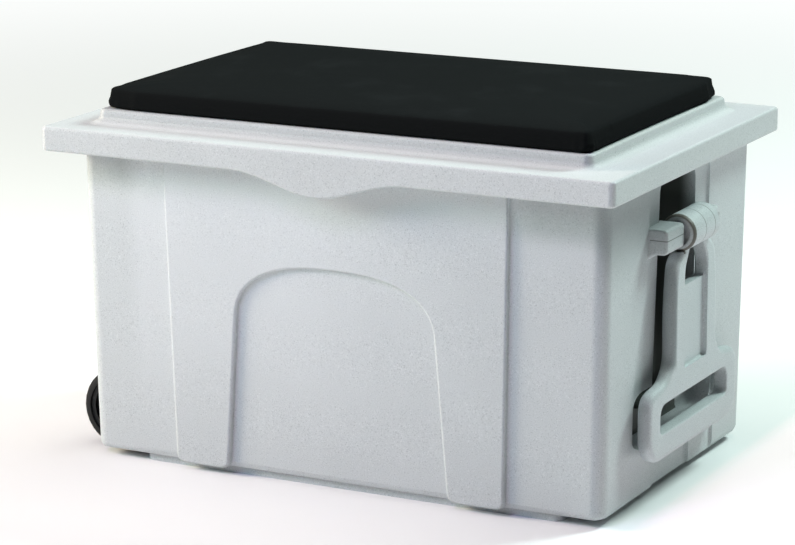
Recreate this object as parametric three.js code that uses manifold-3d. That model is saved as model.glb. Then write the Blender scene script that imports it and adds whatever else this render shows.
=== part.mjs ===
// Fishing seat box: a moulded tub on a low plinth, a hinged lid with a padded seat, a tow handle, two wheels.
// Millimetres, +Z up, +X towards the tow handle, -Y towards the front.
// The origin is on the floor under the lid's centre.

import * as THREE from "three";
import { mergeVertices } from "three/addons/utils/BufferGeometryUtils.js";
import Module from "manifold-3d";

const wasm = await Module();
wasm.setup();

// Lid
const lidLength = 671.5;
const lidDepth = 454;
const lidTopHeight = 375.4;
const rimHeight = 26.9;
const lidCornerRadius = 7;
const lidEdgeRadius = 3;
const lidWall = 8;
const socketDepth = 8.5;
const socketClearance = 1.2;
const platformHeight = 15.3;
const platformMargin = 2;
const platformCornerRadius = 10;
const platformFlare = 3;
const ribThickness = 6;
const ribPocketRadius = 8;
const lipWidth = 200;
const lipDrop = 21;
const lipThickness = 8;
const lipEdgeRadius = 2;

// Seat
const seatEndMargin = 47.05;
const seatSideMargin = 46.8;
const seatSideHeight = 21.9;
const seatCrown = 6;
const seatCornerRadius = 11;
const seatEdgeRadius = 9;
const seatDrawIn = 2.5;
const boardThickness = 9;
const boardInset = 5;
const boardCornerRadius = 8;

// Tub
const endOverhang = 24.15;
const frontOverhang = 40.2;
const backOverhang = 21;
const tubDraft = 5;
const tubCornerRadius = 16;
const tubBottomRadius = 8;
const tubWall = 7;
const plinthHeight = 7.6;
const plinthInset = 8.4;
const plinthCornerRadius = 10;
const plinthLeftInset = 65.6;
const plinthRightInset = 54.6;

// Front panel with its arch
const panelStep = 6;
const panelEdgeRadius = 2.5;
const panelTopWidth = 409;
const panelFootWidth = 394.6;
const panelTopGap = 3;
const panelFootRadius = 11;
const archFootWidth = 264;
const archSpringWidth = 238;
const archSpringHeight = 175;
const archCrownHeight = 243.4;

// Recess in the right end
const recessDepth = 3;
const recessEdgeRadius = 2.4;
const recessTopWidth = 164;
const recessFootWidth = 225;
const recessFlareHeight = 140;
const recessStraightHeight = 240;
const recessTopGap = 5;
const channelTopWidth = 96;
const channelFootWidth = 114;
const channelDepth = 52;
const channelEdgeRadius = 7;
const channelTopGap = 9;
const channelCornerRadius = 14;
const pocketWidth = 218;
const pocketRoomBelow = -9;
const pocketRoomAbove = -11;
const pocketDepth = 24;
const pocketCornerRadius = 30;
const pocketEdgeRadius = 9;
const bayWidth = 102;
const bayDepth = 7.5;
const bayEdgeRadius = 3;

// Tow handle and its pin
const pivotStandoff = 11.7;
const pivotSide = 3.5;
const pivotDrop = 64.8;
const barrelRadius = 20;
const barrelLength = 71;
const barrelEndRadius = 3;
const barrelCupRadius = 13.8;
const barrelCupDepth = 6;
const handleThickness = 16;
const handleEdgeRadius = 6.5;
const holeEdgeRadius = 2;
const armWidth = 119;
const armShoulderWidth = 106;
const armHeadWidth = 70;
const armTaperDrop = 70.4;
const armShoulderDrop = 27;
const armHeadDrop = 16.5;
const armCornerRadius = 16;
const railWidth = 28.5;
const railShoulderWidth = 22;
const railHeadWidth = 17;
const slotTopDrop = 17;
const slotShoulderDrop = 38.4;
const slotShoulderRadius = 16;
const slotCornerRadius = 4.5;
const webTopDrop = 58.7;
const webHeight = 87;
const webRecess = 5;
const webEdgeRadius = 2;
const gripWidth = 243;
const gripHeight = 82;
const gripFootDrop = 232.7;
const gripTopRadius = 42;
const gripFootRadius = 36;
const gripTopSlope = 5;
const gripShoulderWidth = 150;
const fingerWidth = 184;
const fingerHeight = 31.5;
const fingerFootWall = 29;
const fingerTopRadius = 20;
const fingerFootRadius = 8;
const pinRadius = 6;
const pinBlindWall = 32;
const pinCapRadius = 8.5;
const pinCapThickness = 3.6;
const frontLugThickness = 46;
const rearLugThickness = 20;
const lugNose = 8.8;
const lugRise = 12.8;
const lugDrop = 14.2;
const lugTopRadius = 5;
const lugLowRadius = 8;
const lugFootReach = 10.4;
const lugFootSpread = 9;
const lugEdgeRadius = 2.5;
const lugGap = 2;
const lugRoot = 1.5;

// Wheels
const wheelRadius = 44.5;
const wheelWidth = 32;
const wheelSideMargin = 52;
const wheelInset = 10;
const wheelGround = 0.6;
const tyreThickness = 9;
const tyreShoulder = 5;
const hubWidth = 37;
const hubBossRadius = 16;
const hubWebThickness = 8;
const hubRimThickness = 5;
const spokeCount = 6;
const spokeWidth = 6;
const axleRadius = 6.35;
const washerRadius = 13;
const washerThickness = 2;
const axleCapRadius = 12;
const axleCapThickness = 5;
const wellClearance = 8;
const wellSideClearance = 3;

// Hinges and screws
const hingeSpacing = 400;
const hingeWidth = 64;
const leafThickness = 2;
const hingePinRadius = 2;
const knuckleRadius = 4;
const tubLeafHeight = 38;
const lidLeafDepth = 12;
const hingeScrewRadius = 1.6;
const hingeScrewHeadRadius = 4;
const hingeScrewHeadHeight = 1.2;
const hingeScrewLength = 12;
const hingeScrewPitch = 22;
const seatScrewRadius = 1.65;
const seatScrewHeadRadius = 7;
const seatScrewHeadHeight = 2.2;
const seatScrewBite = 6;

// Fits and overruns
const restGap = 0.3;
const runningGap = 0.3;
const overrun = 5;
const mergeTolerance = 1e-4;

// Facets
const cornerSteps = 4;
const filletSteps = 2;
const curveSteps = 6;
const archSteps = 12;
const lipSteps = 20;
const handleEdgeSteps = 3;
const roundSteps = 28;
const smallSteps = 10;

// Counts of the rib lattice under the platform, and the cells of it that hold the seat's screws
const ribColumns = 5;
const ribRows = 3;
const screwColumns = [0, 2, 4];
const screwRows = [0, 2];

// Shape shares, chosen by eye
const archPowerShare = 2.5;
const cornerReachShare = 0.45;
const crownShares = [0.94, 0.8, 0.6, 0.38, 0.16];
const capRoofShare = 1 / 3;
const shoulderShare = 1 / 3;
const knuckleShare = 1 / 3;

// Derived sizes and places
const seatLength = lidLength - 2 * seatEndMargin;
const seatDepth = lidDepth - 2 * seatSideMargin;
const tubTopLength = lidLength - 2 * endOverhang;
const tubTopDepth = lidDepth - frontOverhang - backOverhang;
const rimBottom = lidTopHeight - rimHeight;
const socketTop = rimBottom + socketDepth;
const tubRimTop = socketTop - restGap;
const platformTop = lidTopHeight + platformHeight;
const tubCentreY = frontOverhang - lidDepth / 2 + tubTopDepth / 2;
const draftSlope = tubDraft / (rimBottom - plinthHeight);
const draftAngle = Math.atan(draftSlope);
const tubFootHalfX = tubTopLength / 2 - tubDraft;
const tubFootHalfY = tubTopDepth / 2 - tubDraft;
const plinthLeft = plinthLeftInset - tubTopLength / 2;
const plinthRight = tubTopLength / 2 - plinthRightInset;
const pivotX = tubTopLength / 2 + pivotStandoff;
const pivotY = pivotSide;
const pivotHeight = rimBottom - pivotDrop;
const gripLow = pivotHeight - gripFootDrop;
const gripHigh = gripLow + gripHeight;
const pocketLow = gripLow - pocketRoomBelow;
const pocketHigh = gripHigh + pocketRoomAbove;
const axleX = wheelInset - tubFootHalfX;
const axleHeight = wheelRadius + wheelGround;
const wellRadius = wheelRadius + wellClearance;
const stepRight = axleX + wellRadius + tubWall;
const stepTop = axleHeight + wellRadius + tubWall;
const wheelOffset = tubTopDepth / 2 - wheelSideMargin;
const hubInner = wheelOffset - hubWidth / 2;
const washerInner = hubInner - restGap - washerThickness;
const wellInner = washerInner - restGap;
const capInner = wheelOffset + hubWidth / 2 + restGap;
const wellOuter = capInner + axleCapThickness + wellSideClearance;
const lugInner = barrelLength / 2 + lugGap;
const frontLugOuter = lugInner + frontLugThickness;
const rearLugOuter = lugInner + rearLugThickness;
const boreRadius = pinRadius + runningGap;

// Turns a geometry into a closed solid whose shared corners are merged.
function solid(geometry) {
  const bare = geometry.clone();
  bare.deleteAttribute("normal");
  bare.deleteAttribute("uv");
  const merged = mergeVertices(bare, mergeTolerance);
  const corners = merged.index.array;
  const kept = [];
  for (let i = 0; i < corners.length; i += 3) {
    const [a, b, c] = [corners[i], corners[i + 1], corners[i + 2]];
    if (a !== b && b !== c && c !== a) kept.push(a, b, c);
  }
  return new wasm.Manifold(new wasm.Mesh({
    numProp: 3,
    vertProperties: Float32Array.from(merged.attributes.position.array),
    triVerts: Uint32Array.from(kept),
  }));
}

// Gives a solid's faces back as a geometry.
function geometryOf(body) {
  const mesh = body.getMesh();
  const geometry = new THREE.BufferGeometry();
  geometry.setAttribute("position", new THREE.BufferAttribute(Float32Array.from(mesh.vertProperties), 3));
  geometry.setIndex(new THREE.BufferAttribute(Uint32Array.from(mesh.triVerts), 1));
  geometry.computeVertexNormals();
  return geometry;
}

// Joins a list of solids into one.
function joined(bodies) {
  return bodies.reduce((whole, body) => whole.add(body));
}

// Cuts each solid of a list out of a body.
function cutBy(body, cutters) {
  return cutters.reduce((rest, cutter) => rest.subtract(cutter), body);
}

// Skins a stack of rings, each a list of points that runs anticlockwise seen from above, and caps both ends.
function loft(rings) {
  const count = rings[0].length;
  const positions = rings.flat().flatMap((point) => [point.x, point.y, point.z]);
  const faces = [];
  for (let level = 0; level < rings.length - 1; level += 1) {
    for (let i = 0; i < count; i += 1) {
      const a = level * count + i;
      const b = level * count + (i + 1) % count;
      faces.push(a, b, b + count, a, b + count, a + count);
    }
  }
  const last = (rings.length - 1) * count;
  const capOf = (ring) => THREE.ShapeUtils.triangulateShape(ring.map((p) => new THREE.Vector2(p.x, p.y)), []);
  capOf(rings[0]).forEach(([a, b, c]) => faces.push(c, b, a));
  capOf(rings[rings.length - 1]).forEach(([a, b, c]) => faces.push(last + a, last + b, last + c));
  const geometry = new THREE.BufferGeometry();
  geometry.setAttribute("position", new THREE.BufferAttribute(Float32Array.from(positions), 3));
  geometry.setIndex(faces);
  return geometry;
}

// One ring of a rounded rectangle at a height, anticlockwise seen from above.
function roundedRing(halfX, halfY, radius, z, centreX, centreY) {
  const r = Math.min(radius, halfX, halfY);
  const ring = [];
  [[1, -1, 3], [1, 1, 0], [-1, 1, 1], [-1, -1, 2]].forEach(([sideX, sideY, quarter]) => {
    for (let k = 0; k <= cornerSteps; k += 1) {
      const angle = (quarter + k / cornerSteps) * Math.PI / 2;
      const x = centreX + sideX * (halfX - r) + r * Math.cos(angle);
      const y = centreY + sideY * (halfY - r) + r * Math.sin(angle);
      ring.push(new THREE.Vector3(x, y, z));
    }
  });
  return ring;
}

// A block with a rounded outline, fillets at its foot and top, and sides that lean out by a slope.
function block({ halfX, halfY, radius, low, high, footFillet = 0, topFillet = 0, slope = 0, x = 0, y = 0 }) {
  const levels = [];
  const steps = (fillet) => (fillet > 0 ? filletSteps : 0);
  for (let k = 0; k <= steps(footFillet); k += 1) {
    const angle = k / filletSteps * Math.PI / 2;
    const inset = footFillet * (1 - Math.sin(angle));
    levels.push([inset, low + footFillet * (1 - Math.cos(angle))]);
  }
  for (let k = steps(topFillet); k >= 0; k -= 1) {
    const angle = k / filletSteps * Math.PI / 2;
    const inset = topFillet * (1 - Math.sin(angle));
    levels.push([inset, high - topFillet * (1 - Math.cos(angle))]);
  }
  return solid(loft(levels.map(([inset, z]) => {
    const grow = slope * (z - low) - inset;
    return roundedRing(halfX + grow, halfY + grow, Math.max(radius - inset, radius / 2), z, x, y);
  })));
}

// A shape through corner points [x, y, radius], each corner rounded by its radius.
function outline(points) {
  const shape = new THREE.Shape();
  points.forEach(([x, y, radius], i) => {
    const corner = new THREE.Vector2(x, y);
    const before = points[(i + points.length - 1) % points.length];
    const after = points[(i + 1) % points.length];
    const back = new THREE.Vector2(before[0], before[1]).sub(corner);
    const ahead = new THREE.Vector2(after[0], after[1]).sub(corner);
    const reach = Math.min(radius, back.length() * cornerReachShare, ahead.length() * cornerReachShare);
    const start = corner.clone().addScaledVector(back.normalize(), reach);
    const end = corner.clone().addScaledVector(ahead.normalize(), reach);
    if (i === 0) shape.moveTo(start.x, start.y);
    else shape.lineTo(start.x, start.y);
    if (reach > 0) shape.quadraticCurveTo(corner.x, corner.y, end.x, end.y);
  });
  shape.closePath();
  return shape;
}

// A symmetric outline from the points of its right half, listed from the foot up.
function mirrored(rightPoints) {
  const leftPoints = rightPoints.map(([x, y, radius]) => [-x, y, radius]).reverse();
  return outline([...rightPoints, ...leftPoints]);
}

// A plate of a shape that fills z from zero to its thickness, with rounded edges.
function plate(shape, thickness, edge, edgeSteps = filletSteps) {
  const geometry = new THREE.ExtrudeGeometry(shape, {
    depth: thickness - 2 * edge,
    bevelEnabled: edge > 0,
    bevelThickness: edge,
    bevelSize: edge,
    bevelOffset: -edge,
    bevelSegments: edgeSteps,
    curveSegments: curveSteps,
  });
  geometry.translate(0, 0, edge);
  return geometry;
}

// A box between two corners.
function boxBetween(low, high) {
  const size = high.map((value, i) => value - low[i]);
  const centre = high.map((value, i) => (value + low[i]) / 2);
  const geometry = new THREE.BoxGeometry(...size);
  geometry.translate(...centre);
  return solid(geometry);
}

// A round bar along Y between two places.
function barAlongY(radius, x, z, y0, y1, steps = roundSteps) {
  const geometry = new THREE.CylinderGeometry(radius, radius, y1 - y0, steps);
  geometry.translate(x, (y0 + y1) / 2, z);
  return solid(geometry);
}

// A turned piece along Y: its profile lists [radius, place], with the place measured along Y.
function turnedAlongY(profile, x, y, z, steps = roundSteps) {
  const geometry = new THREE.LatheGeometry(profile.map(([r, place]) => new THREE.Vector2(r, place)), steps);
  geometry.translate(x, y, z);
  return solid(geometry);
}

// A matrix that takes plate space to a wall: its x runs along the wall, its y up it and its z out of it.
function wallFrame(along, up, out, origin) {
  return new THREE.Matrix4().makeBasis(along, up, out).setPosition(origin);
}

const sine = Math.sin(draftAngle);
const cosine = Math.cos(draftAngle);
const frontWall = wallFrame(
  new THREE.Vector3(1, 0, 0),
  new THREE.Vector3(0, -sine, cosine),
  new THREE.Vector3(0, -cosine, -sine),
  new THREE.Vector3(0, tubCentreY - tubFootHalfY, plinthHeight),
);
const rightWall = wallFrame(
  new THREE.Vector3(0, 1, 0),
  new THREE.Vector3(sine, 0, cosine),
  new THREE.Vector3(cosine, 0, -sine),
  new THREE.Vector3(tubFootHalfX, pivotY, plinthHeight),
);
const handleFrame = wallFrame(
  new THREE.Vector3(0, 1, 0),
  new THREE.Vector3(0, 0, 1),
  new THREE.Vector3(1, 0, 0),
  new THREE.Vector3(pivotX - handleThickness / 2, pivotY, 0),
);
const upright = wallFrame(
  new THREE.Vector3(1, 0, 0),
  new THREE.Vector3(0, 0, 1),
  new THREE.Vector3(0, -1, 0),
  new THREE.Vector3(0, 0, 0),
);

// A plate set into a wall: it starts a depth below the wall's face and is as thick as stated.
function plateOn(frame, shape, start, thickness, edge, edgeSteps = filletSteps) {
  const geometry = plate(shape, thickness, edge, edgeSteps);
  geometry.translate(0, 0, start);
  geometry.applyMatrix4(frame);
  return solid(geometry);
}

// The arch's right half, from its spring to its crown, as a rounded curve.
function archHalf() {
  const halfWidth = archSpringWidth / 2;
  const rise = archCrownHeight - archSpringHeight;
  const points = [];
  for (let k = 0; k < archSteps; k += 1) {
    const angle = k / archSteps * Math.PI / 2;
    const x = halfWidth * Math.cos(angle) ** (2 / archPowerShare);
    const z = archSpringHeight + rise * Math.sin(angle) ** (2 / archPowerShare);
    points.push([x, z - plinthHeight, 0]);
  }
  return points;
}

// The raised panel: two legs joined over the arch.
function frontPanel() {
  const top = rimBottom - plinthHeight - panelTopGap;
  const half = [
    ...archHalf().reverse(),
    [archFootWidth / 2, 0, panelFootRadius],
    [panelFootWidth / 2, 0, panelFootRadius],
    [panelTopWidth / 2, top, 0],
  ];
  const crown = [0, archCrownHeight - plinthHeight, 0];
  const left = half.map(([x, y, radius]) => [-x, y, radius]).reverse();
  const shape = outline([crown, ...half, ...left]);
  return plateOn(frontWall, shape, -tubBottomRadius, tubBottomRadius + panelStep, panelEdgeRadius);
}

// The shallow recess that spreads towards the foot of the right end.
function sideRecess() {
  const foot = -overrun;
  const shape = mirrored([
    [recessFootWidth / 2, foot, 0],
    [recessFootWidth / 2, recessFlareHeight - plinthHeight, tubCornerRadius],
    [recessTopWidth / 2, recessStraightHeight - plinthHeight, tubCornerRadius],
    [recessTopWidth / 2, rimBottom - plinthHeight - recessTopGap, tubCornerRadius],
  ]);
  return plateOn(rightWall, shape, -recessDepth, recessDepth + 2 * overrun, recessEdgeRadius);
}

// The deep channel behind the arm, grown by a wall where the inside has to go round it.
function armChannel(wall) {
  const low = (pocketLow + pocketHigh) / 2 - plinthHeight - wall;
  const high = rimBottom - channelTopGap - plinthHeight + wall;
  const shape = mirrored([
    [channelFootWidth / 2 + wall, low, channelCornerRadius],
    [channelTopWidth / 2 + wall, high, channelCornerRadius],
  ]);
  const depth = channelDepth + wall;
  return plateOn(rightWall, shape, -depth, depth + channelEdgeRadius + overrun, channelEdgeRadius);
}

// The hand pocket behind the grip, grown by a wall where the inside has to go round it.
function handPocket(wall) {
  const shape = mirrored([
    [pocketWidth / 2 + wall, pocketLow - plinthHeight - wall, pocketCornerRadius],
    [pocketWidth / 2 + wall, pocketHigh - plinthHeight + wall, pocketCornerRadius],
  ]);
  const depth = pocketDepth + wall;
  return plateOn(rightWall, shape, -depth, depth + pocketEdgeRadius + overrun, pocketEdgeRadius);
}

// The central bay from the hand pocket to the wall's foot, grown by a wall where the inside goes round it.
function footBay(wall) {
  const shape = mirrored([
    [bayWidth / 2 + wall, -overrun - wall, 0],
    [bayWidth / 2 + wall, (pocketLow + pocketHigh) / 2 - plinthHeight, tubCornerRadius],
  ]);
  const depth = bayDepth + wall;
  return plateOn(rightWall, shape, -depth, depth + bayEdgeRadius + overrun, bayEdgeRadius);
}

// A lug that carries one end of the handle's pin: a blunt nose on a foot that widens at the wall.
function handleLug(side) {
  const root = tubFootHalfX - lugRoot;
  const tip = pivotX + lugNose;
  const top = pivotHeight + lugRise;
  const low = pivotHeight - lugDrop;
  const shape = outline([
    [root, low - lugFootSpread, 0],
    [tubFootHalfX + lugFootReach, low, lugTopRadius],
    [tip, low, lugLowRadius],
    [tip, top, lugTopRadius],
    [root, top, 0],
  ]);
  const geometry = plate(shape, side > 0 ? rearLugThickness : frontLugThickness, lugEdgeRadius);
  geometry.applyMatrix4(upright);
  geometry.translate(0, pivotY + (side > 0 ? rearLugOuter : -lugInner), 0);
  return solid(geometry);
}

// One wheel well: a round pocket open to the left end and to the floor.
function wheelWell(side) {
  const reach = [wellInner * side, wellOuter * side].sort((a, b) => a - b);
  return barAlongY(wellRadius, axleX, axleHeight, tubCentreY + reach[0], tubCentreY + reach[1]);
}

// The tub's inside: drafted walls, a hollow plinth, and room kept round the recess and the wheels.
function tubInside() {
  const floor = plinthHeight + tubWall;
  const main = block({
    halfX: tubFootHalfX - tubWall + draftSlope * tubWall,
    halfY: tubFootHalfY - tubWall + draftSlope * tubWall,
    radius: tubCornerRadius - tubWall / 2,
    low: floor,
    high: tubRimTop + overrun,
    footFillet: tubBottomRadius,
    slope: draftSlope,
    y: tubCentreY,
  });
  const sump = block({
    halfX: (plinthRight - plinthLeft) / 2 - tubWall,
    halfY: tubFootHalfY - plinthInset - tubWall,
    radius: plinthCornerRadius - tubWall / 2,
    low: tubWall,
    high: floor + tubBottomRadius,
    x: (plinthRight + plinthLeft) / 2,
    y: tubCentreY,
  });
  const wheelStep = boxBetween(
    [-tubTopLength, -lidDepth, 0],
    [stepRight, lidDepth, stepTop],
  );
  return cutBy(main.add(sump), [armChannel(tubWall), handPocket(tubWall), footBay(tubWall), wheelStep]);
}

// The hollow under the step between the wheel wells, open to the floor.
function beamRelief() {
  const web = wellInner - 2 * tubWall;
  return boxBetween(
    [-tubFootHalfX + tubWall, tubCentreY - web, -overrun],
    [plinthLeft - tubWall / 2, tubCentreY + web, stepTop - tubWall],
  );
}

// Screw places on one hinge leaf, along X from the hinge's centre.
const hingeScrewPlaces = [-hingeScrewPitch, 0, hingeScrewPitch];

// Places of the two hinges along X.
const hinges = [["left", -hingeSpacing / 2], ["right", hingeSpacing / 2]];

// The hinge's axis, behind the tub's back wall and under the lid's overhang.
const backWallAt = (z) => tubCentreY + tubFootHalfY + draftSlope * (z - plinthHeight);
const hingeY = backWallAt(rimBottom) + restGap + knuckleRadius;
const hingeZ = rimBottom - restGap - knuckleRadius;
const tubLeafFace = backWallAt(rimBottom) + restGap;
const tubScrewZ = hingeZ - knuckleRadius - tubLeafHeight / 2;
const lidLeafFace = rimBottom - restGap;
const lidScrewY = hingeY + knuckleRadius + lidLeafDepth / 2;

// A screw with a flat round head, along an axis, with its head's seat at the origin and its shank along +Y.
function hingeScrew(headUp) {
  const profile = [
    [0, -hingeScrewHeadHeight],
    [hingeScrewHeadRadius, -hingeScrewHeadHeight / 2],
    [hingeScrewHeadRadius, 0],
    [hingeScrewRadius, 0],
    [hingeScrewRadius, hingeScrewLength],
    [0, hingeScrewLength],
  ];
  const geometry = new THREE.LatheGeometry(profile.map(([r, y]) => new THREE.Vector2(r, y)), smallSteps);
  if (headUp) geometry.rotateX(Math.PI / 2);
  else geometry.rotateX(Math.PI);
  return geometry;
}

// One hinge screw at a place along X: it goes up into the lid, or forward into the tub's back wall.
function hingeScrewAt(x, onLid) {
  const geometry = hingeScrew(onLid);
  if (onLid) geometry.translate(x, lidScrewY, lidLeafFace - leafThickness - restGap);
  else geometry.translate(x, tubLeafFace + leafThickness + restGap, tubScrewZ);
  return solid(geometry);
}

// Round holes for the hinge screws, along Z under the lid or along Y through the tub's wall.
function hingeScrewHoles(onLid, clearance) {
  const holes = [];
  const radius = hingeScrewRadius + clearance;
  const reach = hingeScrewLength + overrun;
  hinges.forEach(([, x]) => {
    hingeScrewPlaces.forEach((offset) => {
      const geometry = new THREE.CylinderGeometry(radius, radius, 2 * reach, smallSteps);
      if (onLid) {
        geometry.rotateX(Math.PI / 2);
        geometry.translate(x + offset, lidScrewY, lidLeafFace);
      } else {
        geometry.translate(x + offset, tubLeafFace, tubScrewZ);
      }
      holes.push(solid(geometry));
    });
  });
  return holes;
}

// The whole tub.
function tubShell() {
  const walls = block({
    halfX: tubFootHalfX,
    halfY: tubFootHalfY,
    radius: tubCornerRadius,
    low: plinthHeight,
    high: tubRimTop,
    footFillet: tubBottomRadius,
    slope: draftSlope,
    y: tubCentreY,
  });
  const plinth = block({
    halfX: (plinthRight - plinthLeft) / 2,
    halfY: tubFootHalfY - plinthInset,
    radius: plinthCornerRadius,
    low: 0,
    high: plinthHeight + tubBottomRadius,
    x: (plinthRight + plinthLeft) / 2,
    y: tubCentreY,
  });
  const outside = cutBy(joined([walls, plinth, frontPanel()]), [
    sideRecess(), armChannel(0), handPocket(0), footBay(0), wheelWell(1), wheelWell(-1), beamRelief(),
  ]);
  const hollow = outside.subtract(tubInside());
  const withLugs = joined([hollow, handleLug(-1), handleLug(1)]);
  const pinStart = pivotY - frontLugOuter + pinBlindWall;
  const axleReach = wellInner + overrun;
  return cutBy(withLugs, [
    barAlongY(boreRadius, pivotX, pivotHeight, pinStart, pivotY + rearLugOuter + overrun, smallSteps * 2),
    barAlongY(
      axleRadius + runningGap, axleX, axleHeight,
      tubCentreY - axleReach, tubCentreY + axleReach, smallSteps * 2,
    ),
    ...hingeScrewHoles(false, runningGap),
  ]);
}

// The finger lip under the lid's front rim: one wave.
function fingerLip() {
  const points = [[-lipWidth / 2, rimBottom + rimHeight / 2, 0]];
  for (let k = 0; k <= lipSteps; k += 1) {
    const share = k / lipSteps * 2 - 1;
    const drop = lipDrop * (1 + Math.cos(Math.PI * share)) / 2;
    points.push([share * lipWidth / 2, rimBottom - drop, 0]);
  }
  points.push([lipWidth / 2, rimBottom + rimHeight / 2, 0]);
  const geometry = plate(outline(points.reverse()), lipThickness, lipEdgeRadius);
  geometry.applyMatrix4(upright);
  geometry.translate(0, lipThickness - lidDepth / 2, 0);
  return solid(geometry);
}

// The rib lattice's half sizes and cells, and the middle of each cell.
const latticeHalfX = seatLength / 2 - lidWall;
const latticeHalfY = seatDepth / 2 - lidWall;
const cellX = 2 * latticeHalfX / ribColumns;
const cellY = 2 * latticeHalfY / ribRows;
const cellMiddle = (column, row) => [
  cellX * column + cellX / 2 - latticeHalfX,
  cellY * row + cellY / 2 - latticeHalfY,
];

// The lattice of pockets under the platform, which leaves crossing ribs.
function ribPockets() {
  const pockets = [];
  for (let column = 0; column < ribColumns; column += 1) {
    for (let row = 0; row < ribRows; row += 1) {
      const [x, y] = cellMiddle(column, row);
      pockets.push(block({
        halfX: (cellX - ribThickness) / 2,
        halfY: (cellY - ribThickness) / 2,
        radius: ribPocketRadius,
        low: socketTop - overrun,
        high: platformTop - lidWall,
        x,
        y,
      }));
    }
  }
  return pockets;
}

// Places of the seat's screws, in the middle of their cells.
const seatScrewPlaces = screwRows.flatMap((row) => screwColumns.map((column) => cellMiddle(column, row)));

// Upright holes for the seat's screws.
function seatScrewHoles(radius, low, high) {
  return seatScrewPlaces.map(([x, y]) => {
    const geometry = new THREE.CylinderGeometry(radius, radius, high - low, smallSteps);
    geometry.rotateX(Math.PI / 2);
    geometry.translate(x, y, (low + high) / 2);
    return solid(geometry);
  });
}

// The whole lid.
function lidShell() {
  const rim = block({
    halfX: lidLength / 2,
    halfY: lidDepth / 2,
    radius: lidCornerRadius,
    low: rimBottom,
    high: lidTopHeight,
    footFillet: lidEdgeRadius,
    topFillet: lidEdgeRadius,
  });
  const platform = block({
    halfX: seatLength / 2 + platformMargin + platformFlare,
    halfY: seatDepth / 2 + platformMargin + platformFlare,
    radius: platformCornerRadius,
    low: lidTopHeight - lidWall,
    high: platformTop,
    topFillet: lidEdgeRadius,
    slope: -platformFlare / (platformHeight + lidWall),
  });
  const socket = block({
    halfX: tubTopLength / 2 + socketClearance,
    halfY: tubTopDepth / 2 + socketClearance,
    radius: tubCornerRadius,
    low: rimBottom - overrun,
    high: socketTop,
    y: tubCentreY,
  });
  return cutBy(joined([rim, platform, fingerLip()]).subtract(socket), [
    ...ribPockets(),
    ...seatScrewHoles(seatScrewRadius + runningGap, platformTop - lidWall - overrun, platformTop + overrun),
    ...hingeScrewHoles(true, runningGap),
  ]);
}

// One ring of the seat: a rounded rectangle whose sides are drawn in between its corners.
function seatRing(inset, drawIn, z, share) {
  const halfX = (seatLength / 2 - inset) * share;
  const halfY = (seatDepth / 2 - inset) * share;
  const ring = [];
  const corners = roundedRing(halfX, halfY, seatCornerRadius * share, z, 0, 0);
  const perCorner = cornerSteps + 1;
  for (let corner = 0; corner < 4; corner += 1) {
    const own = corners.slice(corner * perCorner, (corner + 1) * perCorner);
    const next = corners[(corner + 1) * perCorner % corners.length];
    ring.push(...own);
    const last = own[own.length - 1];
    const inward = new THREE.Vector3(-(next.y - last.y), next.x - last.x, 0).normalize();
    for (let k = 1; k < curveSteps; k += 1) {
      const t = k / curveSteps;
      const point = last.clone().lerp(next, t);
      ring.push(point.addScaledVector(inward, drawIn * share * Math.sin(Math.PI * t)));
    }
  }
  return ring;
}

// The seat: drawn-in sides, a rolled edge and a crown, with a recess for its board.
function seatCushion() {
  const low = platformTop + restGap;
  const high = low + seatSideHeight;
  const rings = [
    seatRing(restGap * 2, seatDrawIn / 2, low, 1),
    seatRing(0, seatDrawIn, low + seatEdgeRadius, 1),
  ];
  for (let k = 1; k <= filletSteps + 1; k += 1) {
    const angle = k / (filletSteps + 1) * Math.PI / 2;
    const inset = seatEdgeRadius * (1 - Math.cos(angle));
    const z = high - seatEdgeRadius * (1 - Math.sin(angle));
    rings.push(seatRing(inset, seatDrawIn, z, 1));
  }
  crownShares.forEach((share) => {
    rings.push(seatRing(seatEdgeRadius, seatDrawIn, high + seatCrown * (1 - share ** 2), share));
  });
  const board = block({
    halfX: seatLength / 2 - boardInset + runningGap,
    halfY: seatDepth / 2 - boardInset + runningGap,
    radius: boardCornerRadius,
    low: low - overrun,
    high: low + boardThickness + restGap,
  });
  return solid(loft(rings)).subtract(board);
}

// The plywood board in the seat's underside.
function cushionBoard() {
  const low = platformTop + restGap;
  const board = block({
    halfX: seatLength / 2 - boardInset,
    halfY: seatDepth / 2 - boardInset,
    radius: boardCornerRadius,
    low,
    high: low + boardThickness,
  });
  const screwTop = low + seatScrewBite + restGap;
  return cutBy(board, seatScrewHoles(seatScrewRadius + runningGap, low - overrun, screwTop));
}

// One of the screws that come up through the lid into the board.
function cushionScrew(x, y) {
  const seat = platformTop - lidWall - restGap;
  const profile = [
    [0, -seatScrewHeadHeight],
    [seatScrewHeadRadius / 2, -seatScrewHeadHeight],
    [seatScrewHeadRadius, -seatScrewHeadHeight / 2],
    [seatScrewHeadRadius, 0],
    [seatScrewRadius, 0],
    [seatScrewRadius, lidWall + 2 * restGap + seatScrewBite],
    [0, lidWall + 2 * restGap + seatScrewBite],
  ];
  const geometry = new THREE.LatheGeometry(profile.map(([r, p]) => new THREE.Vector2(r, p)), smallSteps);
  geometry.rotateX(Math.PI / 2);
  geometry.translate(x, y, seat);
  return solid(geometry);
}

// A knuckle along X between two places, measured from the hinge's centre.
function knuckle(x, from, to) {
  const geometry = new THREE.CylinderGeometry(knuckleRadius, knuckleRadius, to - from, smallSteps);
  geometry.rotateZ(Math.PI / 2);
  geometry.translate(x + (from + to) / 2, hingeY, hingeZ);
  return solid(geometry);
}

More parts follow.
